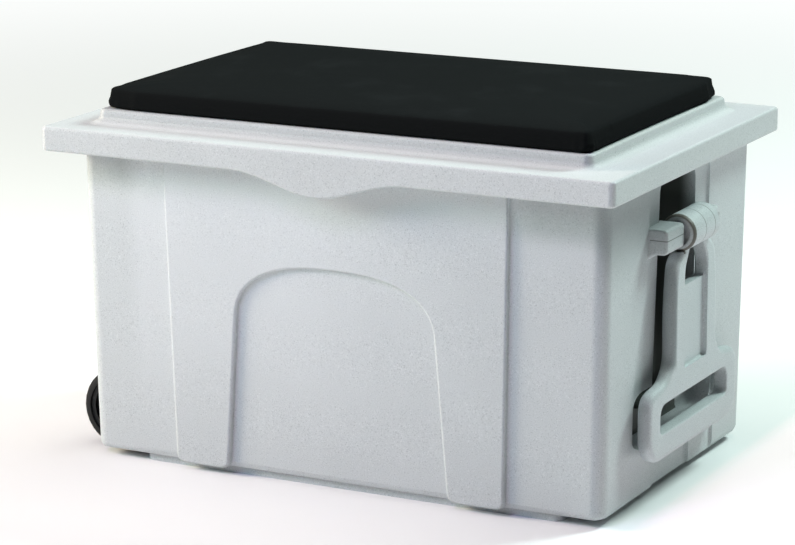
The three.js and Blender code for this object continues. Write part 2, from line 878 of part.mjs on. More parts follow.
// The bore through a hinge's knuckles.
function knuckleBore(x) {
  const radius = hingePinRadius + runningGap;
  const geometry = new THREE.CylinderGeometry(radius, radius, hingeWidth + 2 * overrun, smallSteps);
  geometry.rotateZ(Math.PI / 2);
  geometry.translate(x, hingeY, hingeZ);
  return solid(geometry);
}

// The middle knuckle belongs to the lid's leaf, and the outer two to the tub's.
const middleHalf = hingeWidth * knuckleShare / 2;

// The leaf that is screwed to the tub's back wall.
function tubLeaf(x) {
  const half = hingeWidth / 2;
  const leaf = boxBetween(
    [x - half, tubLeafFace, hingeZ - knuckleRadius - tubLeafHeight],
    [x + half, tubLeafFace + leafThickness, hingeZ],
  );
  const swingRoom = knuckleRadius + restGap;
  const notch = boxBetween(
    [x - middleHalf - restGap, tubLeafFace - overrun, hingeZ - swingRoom],
    [x + middleHalf + restGap, tubLeafFace + leafThickness + overrun, hingeZ + overrun],
  );
  const knuckles = [knuckle(x, -half, -middleHalf - restGap), knuckle(x, middleHalf + restGap, half)];
  const body = joined([leaf.subtract(notch), ...knuckles]);
  return cutBy(body, [knuckleBore(x), ...hingeScrewHoles(false, runningGap)]);
}

// The leaf that is screwed up into the lid's overhang.
function lidLeaf(x) {
  const half = hingeWidth / 2;
  const swingRoom = knuckleRadius + restGap;
  const leaf = boxBetween(
    [x - half, hingeY + swingRoom, lidLeafFace - leafThickness],
    [x + half, hingeY + knuckleRadius + lidLeafDepth, lidLeafFace],
  );
  const bridge = boxBetween(
    [x - middleHalf, hingeY, lidLeafFace - leafThickness],
    [x + middleHalf, hingeY + swingRoom + restGap, lidLeafFace],
  );
  const body = joined([leaf, bridge, knuckle(x, -middleHalf, middleHalf)]);
  return cutBy(body, [knuckleBore(x), ...hingeScrewHoles(true, runningGap)]);
}

// The pin through a hinge's knuckles.
function hingePin(x) {
  const geometry = new THREE.CylinderGeometry(hingePinRadius, hingePinRadius, hingeWidth, smallSteps);
  geometry.rotateZ(Math.PI / 2);
  geometry.translate(x, hingeY, hingeZ);
  return solid(geometry);
}

// The tow handle: a plate with rails, web and grip under a cupped barrel.
function towHandle() {
  const webTop = pivotHeight - webTopDrop;
  const shape = mirrored([
    [gripWidth / 2, gripLow, gripFootRadius],
    [gripWidth / 2, gripHigh - gripTopSlope, gripTopRadius],
    [gripShoulderWidth / 2, gripHigh, armCornerRadius],
    [armWidth / 2, gripHigh + armCornerRadius, armCornerRadius],
    [armWidth / 2, pivotHeight - armTaperDrop, armCornerRadius],
    [armShoulderWidth / 2, pivotHeight - armShoulderDrop, armCornerRadius],
    [armHeadWidth / 2, pivotHeight - armHeadDrop, 0],
    [armHeadWidth / 2, pivotHeight, 0],
  ]);
  const inner = armWidth / 2 - railWidth;
  const slot = mirrored([
    [inner, webTop, slotCornerRadius],
    [armShoulderWidth / 2 - railShoulderWidth, pivotHeight - slotShoulderDrop, slotShoulderRadius],
    [armHeadWidth / 2 - railHeadWidth, pivotHeight - slotTopDrop, slotCornerRadius],
  ]);
  const fingers = mirrored([
    [fingerWidth / 2, gripLow + fingerFootWall, fingerFootRadius],
    [fingerWidth / 2, gripLow + fingerFootWall + fingerHeight, fingerTopRadius],
  ]);
  const sheet = mirrored([
    [gripWidth, 0, 0],
    [gripWidth, pivotHeight + gripHeight, 0],
  ]);
  sheet.holes.push(slot, fingers);
  const pierced = plateOn(handleFrame, sheet, 0, handleThickness, holeEdgeRadius);
  const bar = plateOn(handleFrame, shape, 0, handleThickness, handleEdgeRadius, handleEdgeSteps);
  const arm = bar.intersect(pierced);
  const web = mirrored([
    [inner, webTop - webHeight, slotCornerRadius],
    [inner, webTop + 2 * slotCornerRadius, slotCornerRadius],
  ]);
  const webCut = plateOn(handleFrame, web, handleThickness - webRecess, webRecess + overrun, webEdgeRadius);
  const half = barrelLength / 2;
  const profile = [
    [0, -half + barrelCupDepth],
    [barrelCupRadius, -half + barrelCupDepth],
    [barrelCupRadius, -half],
    [barrelRadius - barrelEndRadius, -half],
    [barrelRadius, -half + barrelEndRadius],
    [barrelRadius, half - barrelEndRadius],
    [barrelRadius - barrelEndRadius, half],
    [barrelCupRadius, half],
    [barrelCupRadius, half - barrelCupDepth],
    [0, half - barrelCupDepth],
  ];
  const barrel = turnedAlongY(profile, pivotX, pivotY, pivotHeight);
  const core = barAlongY(barrelRadius, pivotX, pivotHeight, pivotY - half - overrun, pivotY + half + overrun);
  const bore = barAlongY(boreRadius, pivotX, pivotHeight, pivotY - half, pivotY + half, smallSteps * 2);
  return arm.subtract(webCut).subtract(core).add(barrel).subtract(bore);
}

// The steel pin of the handle: blind in the front lug, out of the rear one.
const handlePinStart = pivotY - frontLugOuter + pinBlindWall + restGap;

// A round cap pushed over a rod's end: a cup whose mouth faces -Y or +Y.
function pushCap(rodRadius, radius, thickness, x, z, mouthY, side) {
  const roof = thickness * capRoofShare;
  const hole = rodRadius + runningGap;
  const profile = [
    [hole, 0],
    [radius, 0],
    [radius, thickness - roof],
    [radius - roof, thickness],
    [0, thickness],
    [0, thickness - roof + restGap],
    [hole, thickness - roof + restGap],
    [hole, 0],
  ];
  const geometry = new THREE.LatheGeometry(profile.map(([r, p]) => new THREE.Vector2(r, p)), smallSteps * 2);
  if (side < 0) geometry.rotateX(Math.PI);
  geometry.translate(x, mouthY, z);
  return solid(geometry);
}

// How far a rod reaches into its push-on cap.
const rodInCap = (thickness) => thickness * (1 - capRoofShare);

// A washer on the axle.
function axleWasher(side) {
  const [a, b] = [washerInner * side, (washerInner + washerThickness) * side].sort((p, q) => p - q);
  const disc = barAlongY(washerRadius, axleX, axleHeight, tubCentreY + a, tubCentreY + b, smallSteps * 2);
  const hole = barAlongY(
    axleRadius + runningGap, axleX, axleHeight,
    tubCentreY + a - overrun, tubCentreY + b + overrun, smallSteps * 2,
  );
  return disc.subtract(hole);
}

// The outer radius of a hub's rim, which the tyre sits on.
const rimRadius = wheelRadius - tyreThickness;

// A hub: boss, web with spokes on both faces, and rim.
function wheelHub(side) {
  const halfBoss = hubWidth / 2;
  const halfRim = wheelWidth / 2 - tyreShoulder / 2;
  const halfWeb = hubWebThickness / 2;
  const innerRim = rimRadius - hubRimThickness;
  const profile = [
    [axleRadius + runningGap, -halfBoss],
    [hubBossRadius, -halfBoss],
    [hubBossRadius, -halfWeb],
    [innerRim, -halfWeb],
    [innerRim, -halfRim],
    [rimRadius, -halfRim],
    [rimRadius, halfRim],
    [innerRim, halfRim],
    [innerRim, halfWeb],
    [hubBossRadius, halfWeb],
    [hubBossRadius, halfBoss],
    [axleRadius + runningGap, halfBoss],
    [axleRadius + runningGap, -halfBoss],
  ];
  const y = tubCentreY + wheelOffset * side;
  const body = turnedAlongY(profile, axleX, y, axleHeight);
  const spokes = [];
  for (let k = 0; k < spokeCount; k += 1) {
    const low = hubBossRadius - hubRimThickness / 2;
    const high = innerRim + hubRimThickness / 2;
    const geometry = new THREE.BoxGeometry(spokeWidth, wheelWidth - 2 * tyreShoulder, high - low);
    geometry.translate(0, 0, (low + high) / 2);
    geometry.rotateY(k / spokeCount * 2 * Math.PI);
    geometry.translate(axleX, y, axleHeight);
    spokes.push(solid(geometry));
  }
  return joined([body, ...spokes]);
}

// A tyre with rounded shoulders and a shallow middle groove.
function wheelTyre(side) {
  const half = wheelWidth / 2;
  const inner = rimRadius + restGap;
  const groove = tyreShoulder / 2;
  const profile = [
    [inner, -half],
    [wheelRadius - tyreShoulder, -half],
    [wheelRadius - tyreShoulder * shoulderShare, -half + tyreShoulder * shoulderShare],
    [wheelRadius, -half + tyreShoulder],
    [wheelRadius, -groove],
    [wheelRadius - groove / 2, 0],
    [wheelRadius, groove],
    [wheelRadius, half - tyreShoulder],
    [wheelRadius - tyreShoulder * shoulderShare, half - tyreShoulder * shoulderShare],
    [wheelRadius - tyreShoulder, half],
    [inner, half],
    [inner, -half],
  ];
  return turnedAlongY(profile, axleX, tubCentreY + wheelOffset * side, axleHeight);
}

// The finishes of the real pieces.
const finishes = {
  tub: { color: 0xc4c9cb, roughness: 0.62, metalness: 0 },
  lid: { color: 0xcfd3d4, roughness: 0.6, metalness: 0 },
  fabric: { color: 0x17181a, roughness: 0.95, metalness: 0 },
  wood: { color: 0xb08a5a, roughness: 0.8, metalness: 0 },
  steel: { color: 0xa8abad, roughness: 0.35, metalness: 1 },
  hub: { color: 0x1c1c1d, roughness: 0.5, metalness: 0 },
  tyre: { color: 0x141415, roughness: 0.85, metalness: 0 },
};

const seatBox = new THREE.Group();

// Adds one named piece with its own material.
function addPiece(name, body, finish) {
  const mesh = new THREE.Mesh(geometryOf(body), new THREE.MeshStandardMaterial(finishes[finish]));
  mesh.name = name;
  seatBox.add(mesh);
}

addPiece("tub_shell", tubShell(), "tub");
addPiece("lid_shell", lidShell(), "lid");
addPiece("seat_cushion", seatCushion(), "fabric");
addPiece("cushion_board", cushionBoard(), "wood");
seatScrewPlaces.forEach(([x, y], i) => addPiece(`cushion_screw_${i + 1}`, cushionScrew(x, y), "steel"));

hinges.forEach(([place, x]) => {
  addPiece(`hinge_tub_leaf_${place}`, tubLeaf(x), "steel");
  addPiece(`hinge_lid_leaf_${place}`, lidLeaf(x), "steel");
  addPiece(`hinge_pin_${place}`, hingePin(x), "steel");
  hingeScrewPlaces.forEach((offset, i) => {
    addPiece(`hinge_tub_screw_${place}_${i + 1}`, hingeScrewAt(x + offset, false), "steel");
    addPiece(`hinge_lid_screw_${place}_${i + 1}`, hingeScrewAt(x + offset, true), "steel");
  });
});

addPiece("tow_handle", towHandle(), "tub");
const handlePinReach = pivotY + rearLugOuter + restGap + rodInCap(pinCapThickness);
addPiece("handle_pin", barAlongY(
  pinRadius, pivotX, pivotHeight, handlePinStart, handlePinReach, smallSteps * 2,
), "steel");
addPiece("handle_pin_cap", pushCap(
  pinRadius, pinCapRadius, pinCapThickness, pivotX, pivotHeight, pivotY + rearLugOuter + restGap, 1,
), "steel");

const axleReachOut = capInner + rodInCap(axleCapThickness);
addPiece("wheel_axle", barAlongY(
  axleRadius, axleX, axleHeight, tubCentreY - axleReachOut, tubCentreY + axleReachOut, smallSteps * 2,
), "steel");
[["front", -1], ["back", 1]].forEach(([place, side]) => {
  addPiece(`axle_washer_${place}`, axleWasher(side), "steel");
  addPiece(`wheel_hub_${place}`, wheelHub(side), "hub");
  addPiece(`wheel_tyre_${place}`, wheelTyre(side), "tyre");
  addPiece(`axle_cap_${place}`, pushCap(
    axleRadius, axleCapRadius, axleCapThickness, axleX, axleHeight, tubCentreY + capInner * side, side,
  ), "steel");
});

export default seatBox;
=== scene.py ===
"""Fishing seat box: moulded tub and lid in speckled plastic, a cloth-covered seat, a tow handle and two wheels."""

import logging
import math
from dataclasses import dataclass
from enum import Enum
from typing import Any, Sequence, Union

import bmesh
import bpy
from bpy.types import Material, Mesh, Object
from mathutils import Matrix, Vector

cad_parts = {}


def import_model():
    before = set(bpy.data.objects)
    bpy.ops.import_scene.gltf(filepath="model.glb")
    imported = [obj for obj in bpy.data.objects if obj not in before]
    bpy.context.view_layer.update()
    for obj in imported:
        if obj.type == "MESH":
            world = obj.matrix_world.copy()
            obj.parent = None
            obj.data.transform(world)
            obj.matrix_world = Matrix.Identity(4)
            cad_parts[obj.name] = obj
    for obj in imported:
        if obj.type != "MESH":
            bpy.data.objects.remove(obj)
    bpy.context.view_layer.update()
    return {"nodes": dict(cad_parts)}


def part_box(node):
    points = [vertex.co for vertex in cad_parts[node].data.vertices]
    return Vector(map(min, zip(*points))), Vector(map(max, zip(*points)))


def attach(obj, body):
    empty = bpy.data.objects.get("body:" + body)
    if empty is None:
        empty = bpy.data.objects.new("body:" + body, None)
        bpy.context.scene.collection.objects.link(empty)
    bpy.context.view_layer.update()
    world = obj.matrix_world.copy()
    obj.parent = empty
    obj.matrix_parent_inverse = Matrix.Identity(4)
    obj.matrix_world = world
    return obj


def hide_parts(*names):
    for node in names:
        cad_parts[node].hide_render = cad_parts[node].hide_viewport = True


LOG = logging.getLogger("seat_box")
Point = tuple[float, float, float]
Tint = tuple[float, float, float]
Band = tuple[float, float]
Ramp = tuple[int, float, float]
X, Y, Z = range(3)
BLACK = (0.0, 0.0, 0.0)
MIDDLE = (0.3, 0.7)
SHARP_ANGLE = 40.0
TINY = 1e-6


class Body(Enum):
    """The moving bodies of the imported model."""

    TUB = "tub"
    LID = "lid"
    HANDLE = "tow_handle"
    FRONT_WHEEL = "front_wheel"
    BACK_WHEEL = "back_wheel"


class Slot(Enum):
    """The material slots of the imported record."""

    TUB = "tub_plastic"
    LID = "lid_plastic"
    HANDLE = "handle_plastic"
    SEAT = "seat_fabric"
    BOARD = "board_wood"
    STEEL = "steel"
    HUB = "hub_plastic"
    TYRE = "tyre_rubber"


# Shader maths


class Signal:
    """A node's output socket, on which arithmetic adds Math nodes."""

    def __init__(self, tree: "NodeTree", socket: bpy.types.NodeSocket) -> None:
        """Wrap an output socket of a tree."""
        self.tree = tree
        self.socket = socket

    def _math(self, operation: str, first: Any, second: Any) -> "Signal":
        """Add one Math node on two numbers or signals."""
        return self.tree.node("ShaderNodeMath", {"operation": operation}, {0: first, 1: second})

    def __add__(self, other: Any) -> "Signal":
        """Sum."""
        return self._math("ADD", self, other)

    def __radd__(self, other: Any) -> "Signal":
        """Sum with the number first."""
        return self._math("ADD", other, self)

    def __sub__(self, other: Any) -> "Signal":
        """Difference."""
        return self._math("SUBTRACT", self, other)

    def __rsub__(self, other: Any) -> "Signal":
        """Difference with the number first."""
        return self._math("SUBTRACT", other, self)

    def __mul__(self, other: Any) -> "Signal":
        """Product."""
        return self._math("MULTIPLY", self, other)

    def __rmul__(self, other: Any) -> "Signal":
        """Product with the number first."""
        return self._math("MULTIPLY", other, self)

    def __gt__(self, other: Any) -> "Signal":
        """One where this is the greater, else zero."""
        return self._math("GREATER_THAN", self, other)

    def __lt__(self, other: Any) -> "Signal":
        """One where this is the smaller, else zero."""
        return self._math("LESS_THAN", self, other)


class NodeTree:
    """Builds nodes in a shader or geometry tree, each with one call."""

    def __init__(self, tree: bpy.types.NodeTree) -> None:
        """Wrap the Blender tree to build in."""
        self.tree = tree

    def raw(self, kind: str, settings: dict[str, Any], inputs: dict[Union[int, str], Any]) -> bpy.types.Node:
        """Add a node and fill it.

        Args:
            kind: The node's type name.
            settings: Its settings, which are set before its sockets.
            inputs: Values or signals for its input sockets, by name or place.

        Returns:
            The new node.
        """
        node = self.tree.nodes.new(kind)
        for name, value in settings.items():
            setattr(node, name, value)
        for key, value in inputs.items():
            socket = node.inputs[key]
            if isinstance(value, Signal):
                self.tree.links.new(value.socket, socket)
            else:
                socket.default_value = value
        return node

    def node(self, kind: str, settings: dict[str, Any], inputs: dict[Union[int, str], Any],
             output: Union[int, str] = 0) -> Signal:
        """Add a node and return one of its outputs, by name or place."""
        return Signal(self, self.raw(kind, settings, inputs).outputs[output])


class Surface(NodeTree):
    """One material's node tree with a Principled shader at its end."""

    def __init__(self, name: str) -> None:
        """Start an empty material.

        Args:
            name: The material's name.
        """
        self.material = bpy.data.materials.new(name)
        self.material.use_nodes = True
        super().__init__(self.material.node_tree)
        self.tree.nodes.clear()
        self.place = self.node("ShaderNodeTexCoord", {}, {}, "Object")

    def axes(self) -> list[Signal]:
        """The three coordinates of object space, in metres."""
        parts = self.raw("ShaderNodeSeparateXYZ", {}, {0: self.place})
        return [Signal(self, out) for out in parts.outputs]

    def math(self, operation: str, value: Signal, other: Any = 0.0) -> Signal:
        """One Math node that has no operator of its own."""
        return self.node("ShaderNodeMath", {"operation": operation}, {0: value, 1: other})

    def noise(self, scale: float, detail: float = 2.0, roughness: float = 0.5,
              vector: Union[Signal, None] = None) -> Signal:
        """Smooth noise between about 0 and 1, at a number of features per metre."""
        return self.node("ShaderNodeTexNoise", {}, {
            "Vector": vector or self.place, "Scale": scale, "Detail": detail, "Roughness": roughness,
        })

    def between(self, value: Signal, low: float, high: float, to_low: float = 0.0, to_high: float = 1.0) -> Signal:
        """Map a value's range to another, with a soft start and end."""
        return self.node("ShaderNodeMapRange", {"interpolation_type": "SMOOTHSTEP"}, {
            "Value": value, "From Min": low, "From Max": high, "To Min": to_low, "To Max": to_high,
        })

    def blend(self, share: Any, first: Any, second: Any) -> Signal:
        """Mix two colours.

        Args:
            share: Weight of the second colour.
            first: First colour or signal.
            second: Second colour or signal.

        Returns:
            The mixed colour.
        """
        def tint(value: Any) -> Any:
            """Give a plain colour its alpha."""
            return value if isinstance(value, Signal) else (*value, 1.0)

        settings = {"data_type": "RGBA", "clamp_factor": True}
        return self.node("ShaderNodeMix", settings, {0: share, 6: tint(first), 7: tint(second)}, 2)

    def bump(self, height: Signal, strength: float, distance: float) -> Signal:
        """Turn a height into a normal, where a height of one stands for a distance in metres."""
        return self.node("ShaderNodeBump", {}, {"Height": height, "Strength": strength, "Distance": distance})

    def finish(self, inputs: dict[str, Any]) -> Material:
        """End the tree in a Principled shader.

        Args:
            inputs: Values or signals for its sockets.

        Returns:
            The finished material.
        """
        shader = self.node("ShaderNodeBsdfPrincipled", {}, inputs)
        self.raw("ShaderNodeOutputMaterial", {}, {"Surface": shader})
        return self.material


# Finishes


def toned(tint: Tint, share: float) -> Tint:
    """A colour whose light is scaled to a share."""
    return tint[0] * share, tint[1] * share, tint[2] * share


@dataclass(frozen=True)
class Finish:
    """What finishes share: a name, a range of roughness, a shine, and the strength and depth of a relief."""

    name: str
    roughness: Band = MIDDLE
    specular: float = 0.5
    relief: Band = (0.3, 0.0002)

    def close(self, s: Surface, colour: Signal, wear: Signal, height: Signal, metallic: float = 0.0) -> Material:
        """End a surface with its colour, the noise that its roughness follows and the height of its relief."""
        return s.finish({
            "Base Color": colour,
            "Metallic": metallic,
            "Roughness": s.between(wear, *MIDDLE, *self.roughness),
            "Specular IOR Level": self.specular,
            "Normal": s.bump(height, *self.relief),
        })


@dataclass(frozen=True)
class FineLine:
    """A dark line, such as a moulding seam: a thin slab across one axis, inside a box."""

    axis: int
    place: float
    low: Point
    high: Point
    width: float = 0.0008
    core: float = 0.4
    tint: Tint = (0.16, 0.17, 0.165)

    def share(self, s: Surface) -> Signal:
        """Where the line lies.

        Args:
            s: The surface in work.

        Returns:
            1 on the line and 0 beside it.
        """
        parts = s.axes()
        share = s.between(s.math("ABSOLUTE", parts[self.axis] - self.place), self.width, self.width * self.core)
        for part, low, high in zip(parts, self.low, self.high):
            share = share * (part > low) * (part < high)
        return share


@dataclass(frozen=True)
class PaintedLightPatch:
    """A patch of painted shade, or of painted light where its tint is pale.

    Each ramp gives an axis, the place where the patch is clear and the place where it is full.
    """

    ramps: tuple[Ramp, ...]
    depth: float
    # the default tint is a painted shade
    tint: Tint = (0.13, 0.152, 0.152)

    def share(self, s: Surface) -> Signal:
        """How much of the patch's painted tone a point has.

        Args:
            s: The surface in work.

        Returns:
            The patch's share.
        """
        parts = s.axes()
        ramps = [s.between(parts[axis], clear, full) for axis, clear, full in self.ramps]
        share = ramps[0] * self.depth
        for ramp in ramps[1:]:
            share = share * ramp
        return share


@dataclass(frozen=True)
class PaintedChannelShade:
    """Painted shade in the channel behind the arm, which narrows upwards in a wall that leans."""

    wall_lean: float = 0.0147
    clear_x: float = 0.3035
    dark_x: float = 0.2840
    back_x: float = 0.2515
    middle_y: float = 0.0035
    foot_half: float = 0.0623
    taper: float = 0.0362
    foot_z: float = 0.066
    top_z: float = 0.343
    tint: Tint = (0.100, 0.110, 0.100)

    def share(self, s: Surface) -> Signal:
        """How much painted shade a point gets, by how deep it lies in the channel.

        Args:
            s: The surface in work.

        Returns:
            0 at the wall's face and 1 well inside.
        """
        x, y, z = s.axes()
        # the painted shade grows with depth below the wall's face
        sunk = s.between(x - z * self.wall_lean, self.clear_x, self.dark_x)
        inner = (x - z * self.wall_lean) > self.back_x
        half = self.foot_half - z * self.taper
        beside = half > s.math("ABSOLUTE", y - self.middle_y)
        return sunk * inner * beside * (z > self.foot_z) * (z < self.top_z)


@dataclass(frozen=True)
class SpeckledPlastic(Finish):
    """Rotation-moulded plastic with fine dark and light flecks, like stone."""

    base: Tint = (0.560, 0.588, 0.600)
    dark_fleck: Tint = (0.235, 0.255, 0.270)
    light_fleck: Tint = (0.78, 0.80, 0.81)
    fleck_size: float = 0.0013
    dark_band: Band = (0.56, 0.70)
    dark_share: float = 0.62
    light_band: Band = (0.44, 0.30)
    light_share: float = 0.6
    spot_band: Band = (0.36, 0.26)
    cluster_band: Band = (0.50, 0.60)
    spot_share: float = 0.4
    cloud_band: Band = (0.35, 0.68)
    cloud_share: float = 0.5
    cloud_tone: float = 0.94
    roughness: Band = (0.44, 0.58)
    specular: float = 0.42
    relief: Band = (0.32, 0.00035)
    # marks holds seam lines as well as patches of painted shade and painted light
    marks: tuple[Union[PaintedLightPatch, PaintedChannelShade, FineLine], ...] = ()

    def make(self) -> Material:
        """Build the material.

        Returns:
            The material.
        """
        s = Surface(self.name)
        warp = s.noise(0.9 / self.fleck_size, 2.0)
        fine = s.noise(1.0 / self.fleck_size, 3.0, 0.62)
        coarse = s.noise(0.42 / self.fleck_size, 2.0, 0.55)
        clouds = s.noise(9.0, 3.0, 0.6)
        cells = s.node("ShaderNodeTexVoronoi", {}, {
            "Vector": s.place, "Scale": 0.5 / self.fleck_size, "Randomness": 1.0,
        }, "Distance")
        dark = s.between(fine, *self.dark_band) * self.dark_share
        spots = s.between(cells + warp * 0.35, *self.spot_band) * s.between(coarse, *self.cluster_band)
        light = s.between(fine, *self.light_band) * self.light_share
        patches = s.between(clouds, *self.cloud_band) * self.cloud_share
        tone = s.blend(patches, self.base, toned(self.base, self.cloud_tone))
        flecked = s.blend(light, tone, self.light_fleck)
        flecked = s.blend(dark, flecked, self.dark_fleck)
        flecked = s.blend(spots * self.spot_share, flecked, self.dark_fleck)
        # lay on the seam lines and the patches of painted shade and painted light
        for overlay in self.marks:
            flecked = s.blend(overlay.share(s), flecked, overlay.tint)
        pebble = s.noise(0.35 / self.fleck_size, 3.0, 0.6)
        return self.close(s, flecked, pebble, pebble + fine * 0.4)


@dataclass(frozen=True)
class SeatCloth(Finish):
    """Close-woven matt black cloth, with painted shade that darkens the cushion's sides."""

    yarn: Tint = (0.0058, 0.0074, 0.0075)
    lint: Tint = (0.0120, 0.0140, 0.0145)
    threads_per_metre: float = 1050.0
    thread_drift: float = 2.4
    lint_band: Band = (0.3, 0.75)
    worn_band: Band = (0.5, 0.75)
    worn_share: float = 0.3
    worn_tone: float = 1.5
    painted_side_shade_band: Band = (0.4075, 0.4160)
    painted_side_shade_tone: float = 0.42
    roughness: Band = (0.82, 0.95)
    specular: float = 0.04
    relief: Band = (0.45, 0.00025)

    def make(self) -> Material:
        """Build the material.

        Returns:
            The material.
        """
        s = Surface(self.name)
        x, y, z = s.axes()
        turn = math.pi * self.threads_per_metre
        drift = s.noise(140.0, 2.0) * self.thread_drift

        def wave(value: Signal) -> Signal:
            """One set of threads, between 0 and 1."""
            return s.math("SINE", value) * 0.5 + 0.5

        warp = wave((x + z * 0.35) * turn + drift)
        weft = wave((y + z * 0.94) * turn + drift)
        weave = warp * (1.0 - weft) + weft * (1.0 - warp)
        fuzz = s.noise(900.0, 4.0, 0.7)
        worn = s.noise(16.0, 4.0, 0.62)
        shade = s.blend(s.between(fuzz * 0.6 + weave * 0.4, *self.lint_band), self.yarn, self.lint)
        rubbed = s.between(worn, *self.worn_band) * self.worn_share
        shade = s.blend(rubbed, shade, toned(self.lint, self.worn_tone))
        # painted shade: the sides darker than the top
        shade = s.blend(s.between(z, *self.painted_side_shade_band), toned(self.lint, self.painted_side_shade_tone), shade)
        return self.close(s, shade, fuzz, weave * 0.7 + fuzz * 0.6)


@dataclass(frozen=True)
class SatinSteel(Finish):
    """Brushed stainless steel with faint streaks and handling marks."""

    base: Tint = (0.56, 0.57, 0.58)
    brushing: Point = (60.0, 2400.0, 2400.0)
    mark_band: Band = (0.5, 0.8)
    mark_share: float = 0.4
    mark_tone: float = 0.72
    roughness: Band = (0.26, 0.48)
    relief: Band = (0.25, 0.00008)

    def make(self) -> Material:
        """Build the material.

        Returns:
            The material.
        """
        s = Surface(self.name)
        stretched = s.node("ShaderNodeMapping", {}, {"Vector": s.place, "Scale": self.brushing})
        streaks = s.noise(1.0, 3.0, 0.6, stretched)
        marks = s.noise(120.0, 4.0, 0.65)
        handled = s.between(marks, *self.mark_band) * self.mark_share
        colour = s.blend(handled, self.base, toned(self.base, self.mark_tone))
        return self.close(s, colour, streaks * 0.6 + marks * 0.4, streaks, metallic=1.0)


@dataclass(frozen=True)
class BareBoard(Finish):
    """Unpainted plywood, with grain along the length."""

    pale: Tint = (0.52, 0.37, 0.21)
    dark: Tint = (0.33, 0.20, 0.10)
    grain: Point = (9.0, 150.0, 420.0)
    grain_band: Band = (0.35, 0.68)
    pore_band: Band = (0.6, 0.7)
    pore_share: float = 0.35
    roughness: Band = (0.68, 0.85)
    relief: Band = (0.35, 0.0003)

    def make(self) -> Material:
        """Build the material.

        Returns:
            The material.
        """
        s = Surface(self.name)
        stretched = s.node("ShaderNodeMapping", {}, {"Vector": s.place, "Scale": self.grain})
        grain = s.noise(1.0, 5.0, 0.65, stretched)
        pores = s.noise(700.0, 2.0)
        colour = s.blend(s.between(grain, *self.grain_band), self.pale, self.dark)
        colour = s.blend(s.between(pores, *self.pore_band) * self.pore_share, colour, self.dark)
        return self.close(s, colour, grain, grain + pores * 0.3)


@dataclass(frozen=True)
class DarkMoulding(Finish):
    """Black moulded plastic or rubber, with dust in its grain."""

    base: Tint = (0.0060, 0.0063, 0.0068)
    dust: Tint = (0.022, 0.022, 0.021)
    grain: float = 900.0
    patch_band: Band = (0.5, 0.72)
    dust_band: Band = (0.4, 0.62)
    dust_share: float = 0.5
    specular: float = 0.4

    def make(self) -> Material:
        """Build the material.

        Returns:
            The material.
        """
        s = Surface(self.name)
        fine = s.noise(self.grain, 3.0, 0.6)
        patches = s.noise(38.0, 4.0, 0.6)
        dusty = s.between(patches, *self.patch_band) * s.between(fine, *self.dust_band) * self.dust_share
        return self.close(s, s.blend(dusty, self.base, self.dust), fine, fine)


@dataclass(frozen=True)
class StudioPaper:
    """Pale floor with painted light: it glows a little far away, and in a warm strip beside the handle that lifts the
    floor out of the box's shadow.
    """

    name: str
    base: Tint = (0.93, 0.925, 0.93)
    tooth_share: float = 0.3
    tooth_tone: float = 0.985
    glow_strip_tint: Tint = (0.20, 0.07, 0.09)
    glow_strip_start: Band = (0.324, 0.352)
    glow_strip_end: Band = (0.60, 0.44)
    glow: Tint = (0.80, 0.80, 0.80)
    glow_reach: Band = (1.20, 4.2)
    roughness: float = 0.9
    specular: float = 0.15

    def make(self) -> Material:
        """Build the material.

        Returns:
            The material.
        """
        s = Surface(self.name)
        tooth = s.noise(260.0, 3.0)
        x, y, _ = s.axes()
        # painted light: the floor glows far from the object and in the strip beside the handle
        far = s.math("SQRT", x * x + y * y)
        beside = s.between(x, *self.glow_strip_start) * s.between(x, *self.glow_strip_end)
        glow_strip = s.blend(beside, BLACK, self.glow_strip_tint)
        grain = s.between(tooth, *MIDDLE) * self.tooth_share
        return s.finish({
            "Base Color": s.blend(grain, self.base, toned(self.base, self.tooth_tone)),
            "Roughness": self.roughness,
            "Specular IOR Level": self.specular,
            "Emission Color": s.blend(s.between(far, *self.glow_reach), glow_strip, self.glow),
            "Emission Strength": 1.0,
        })


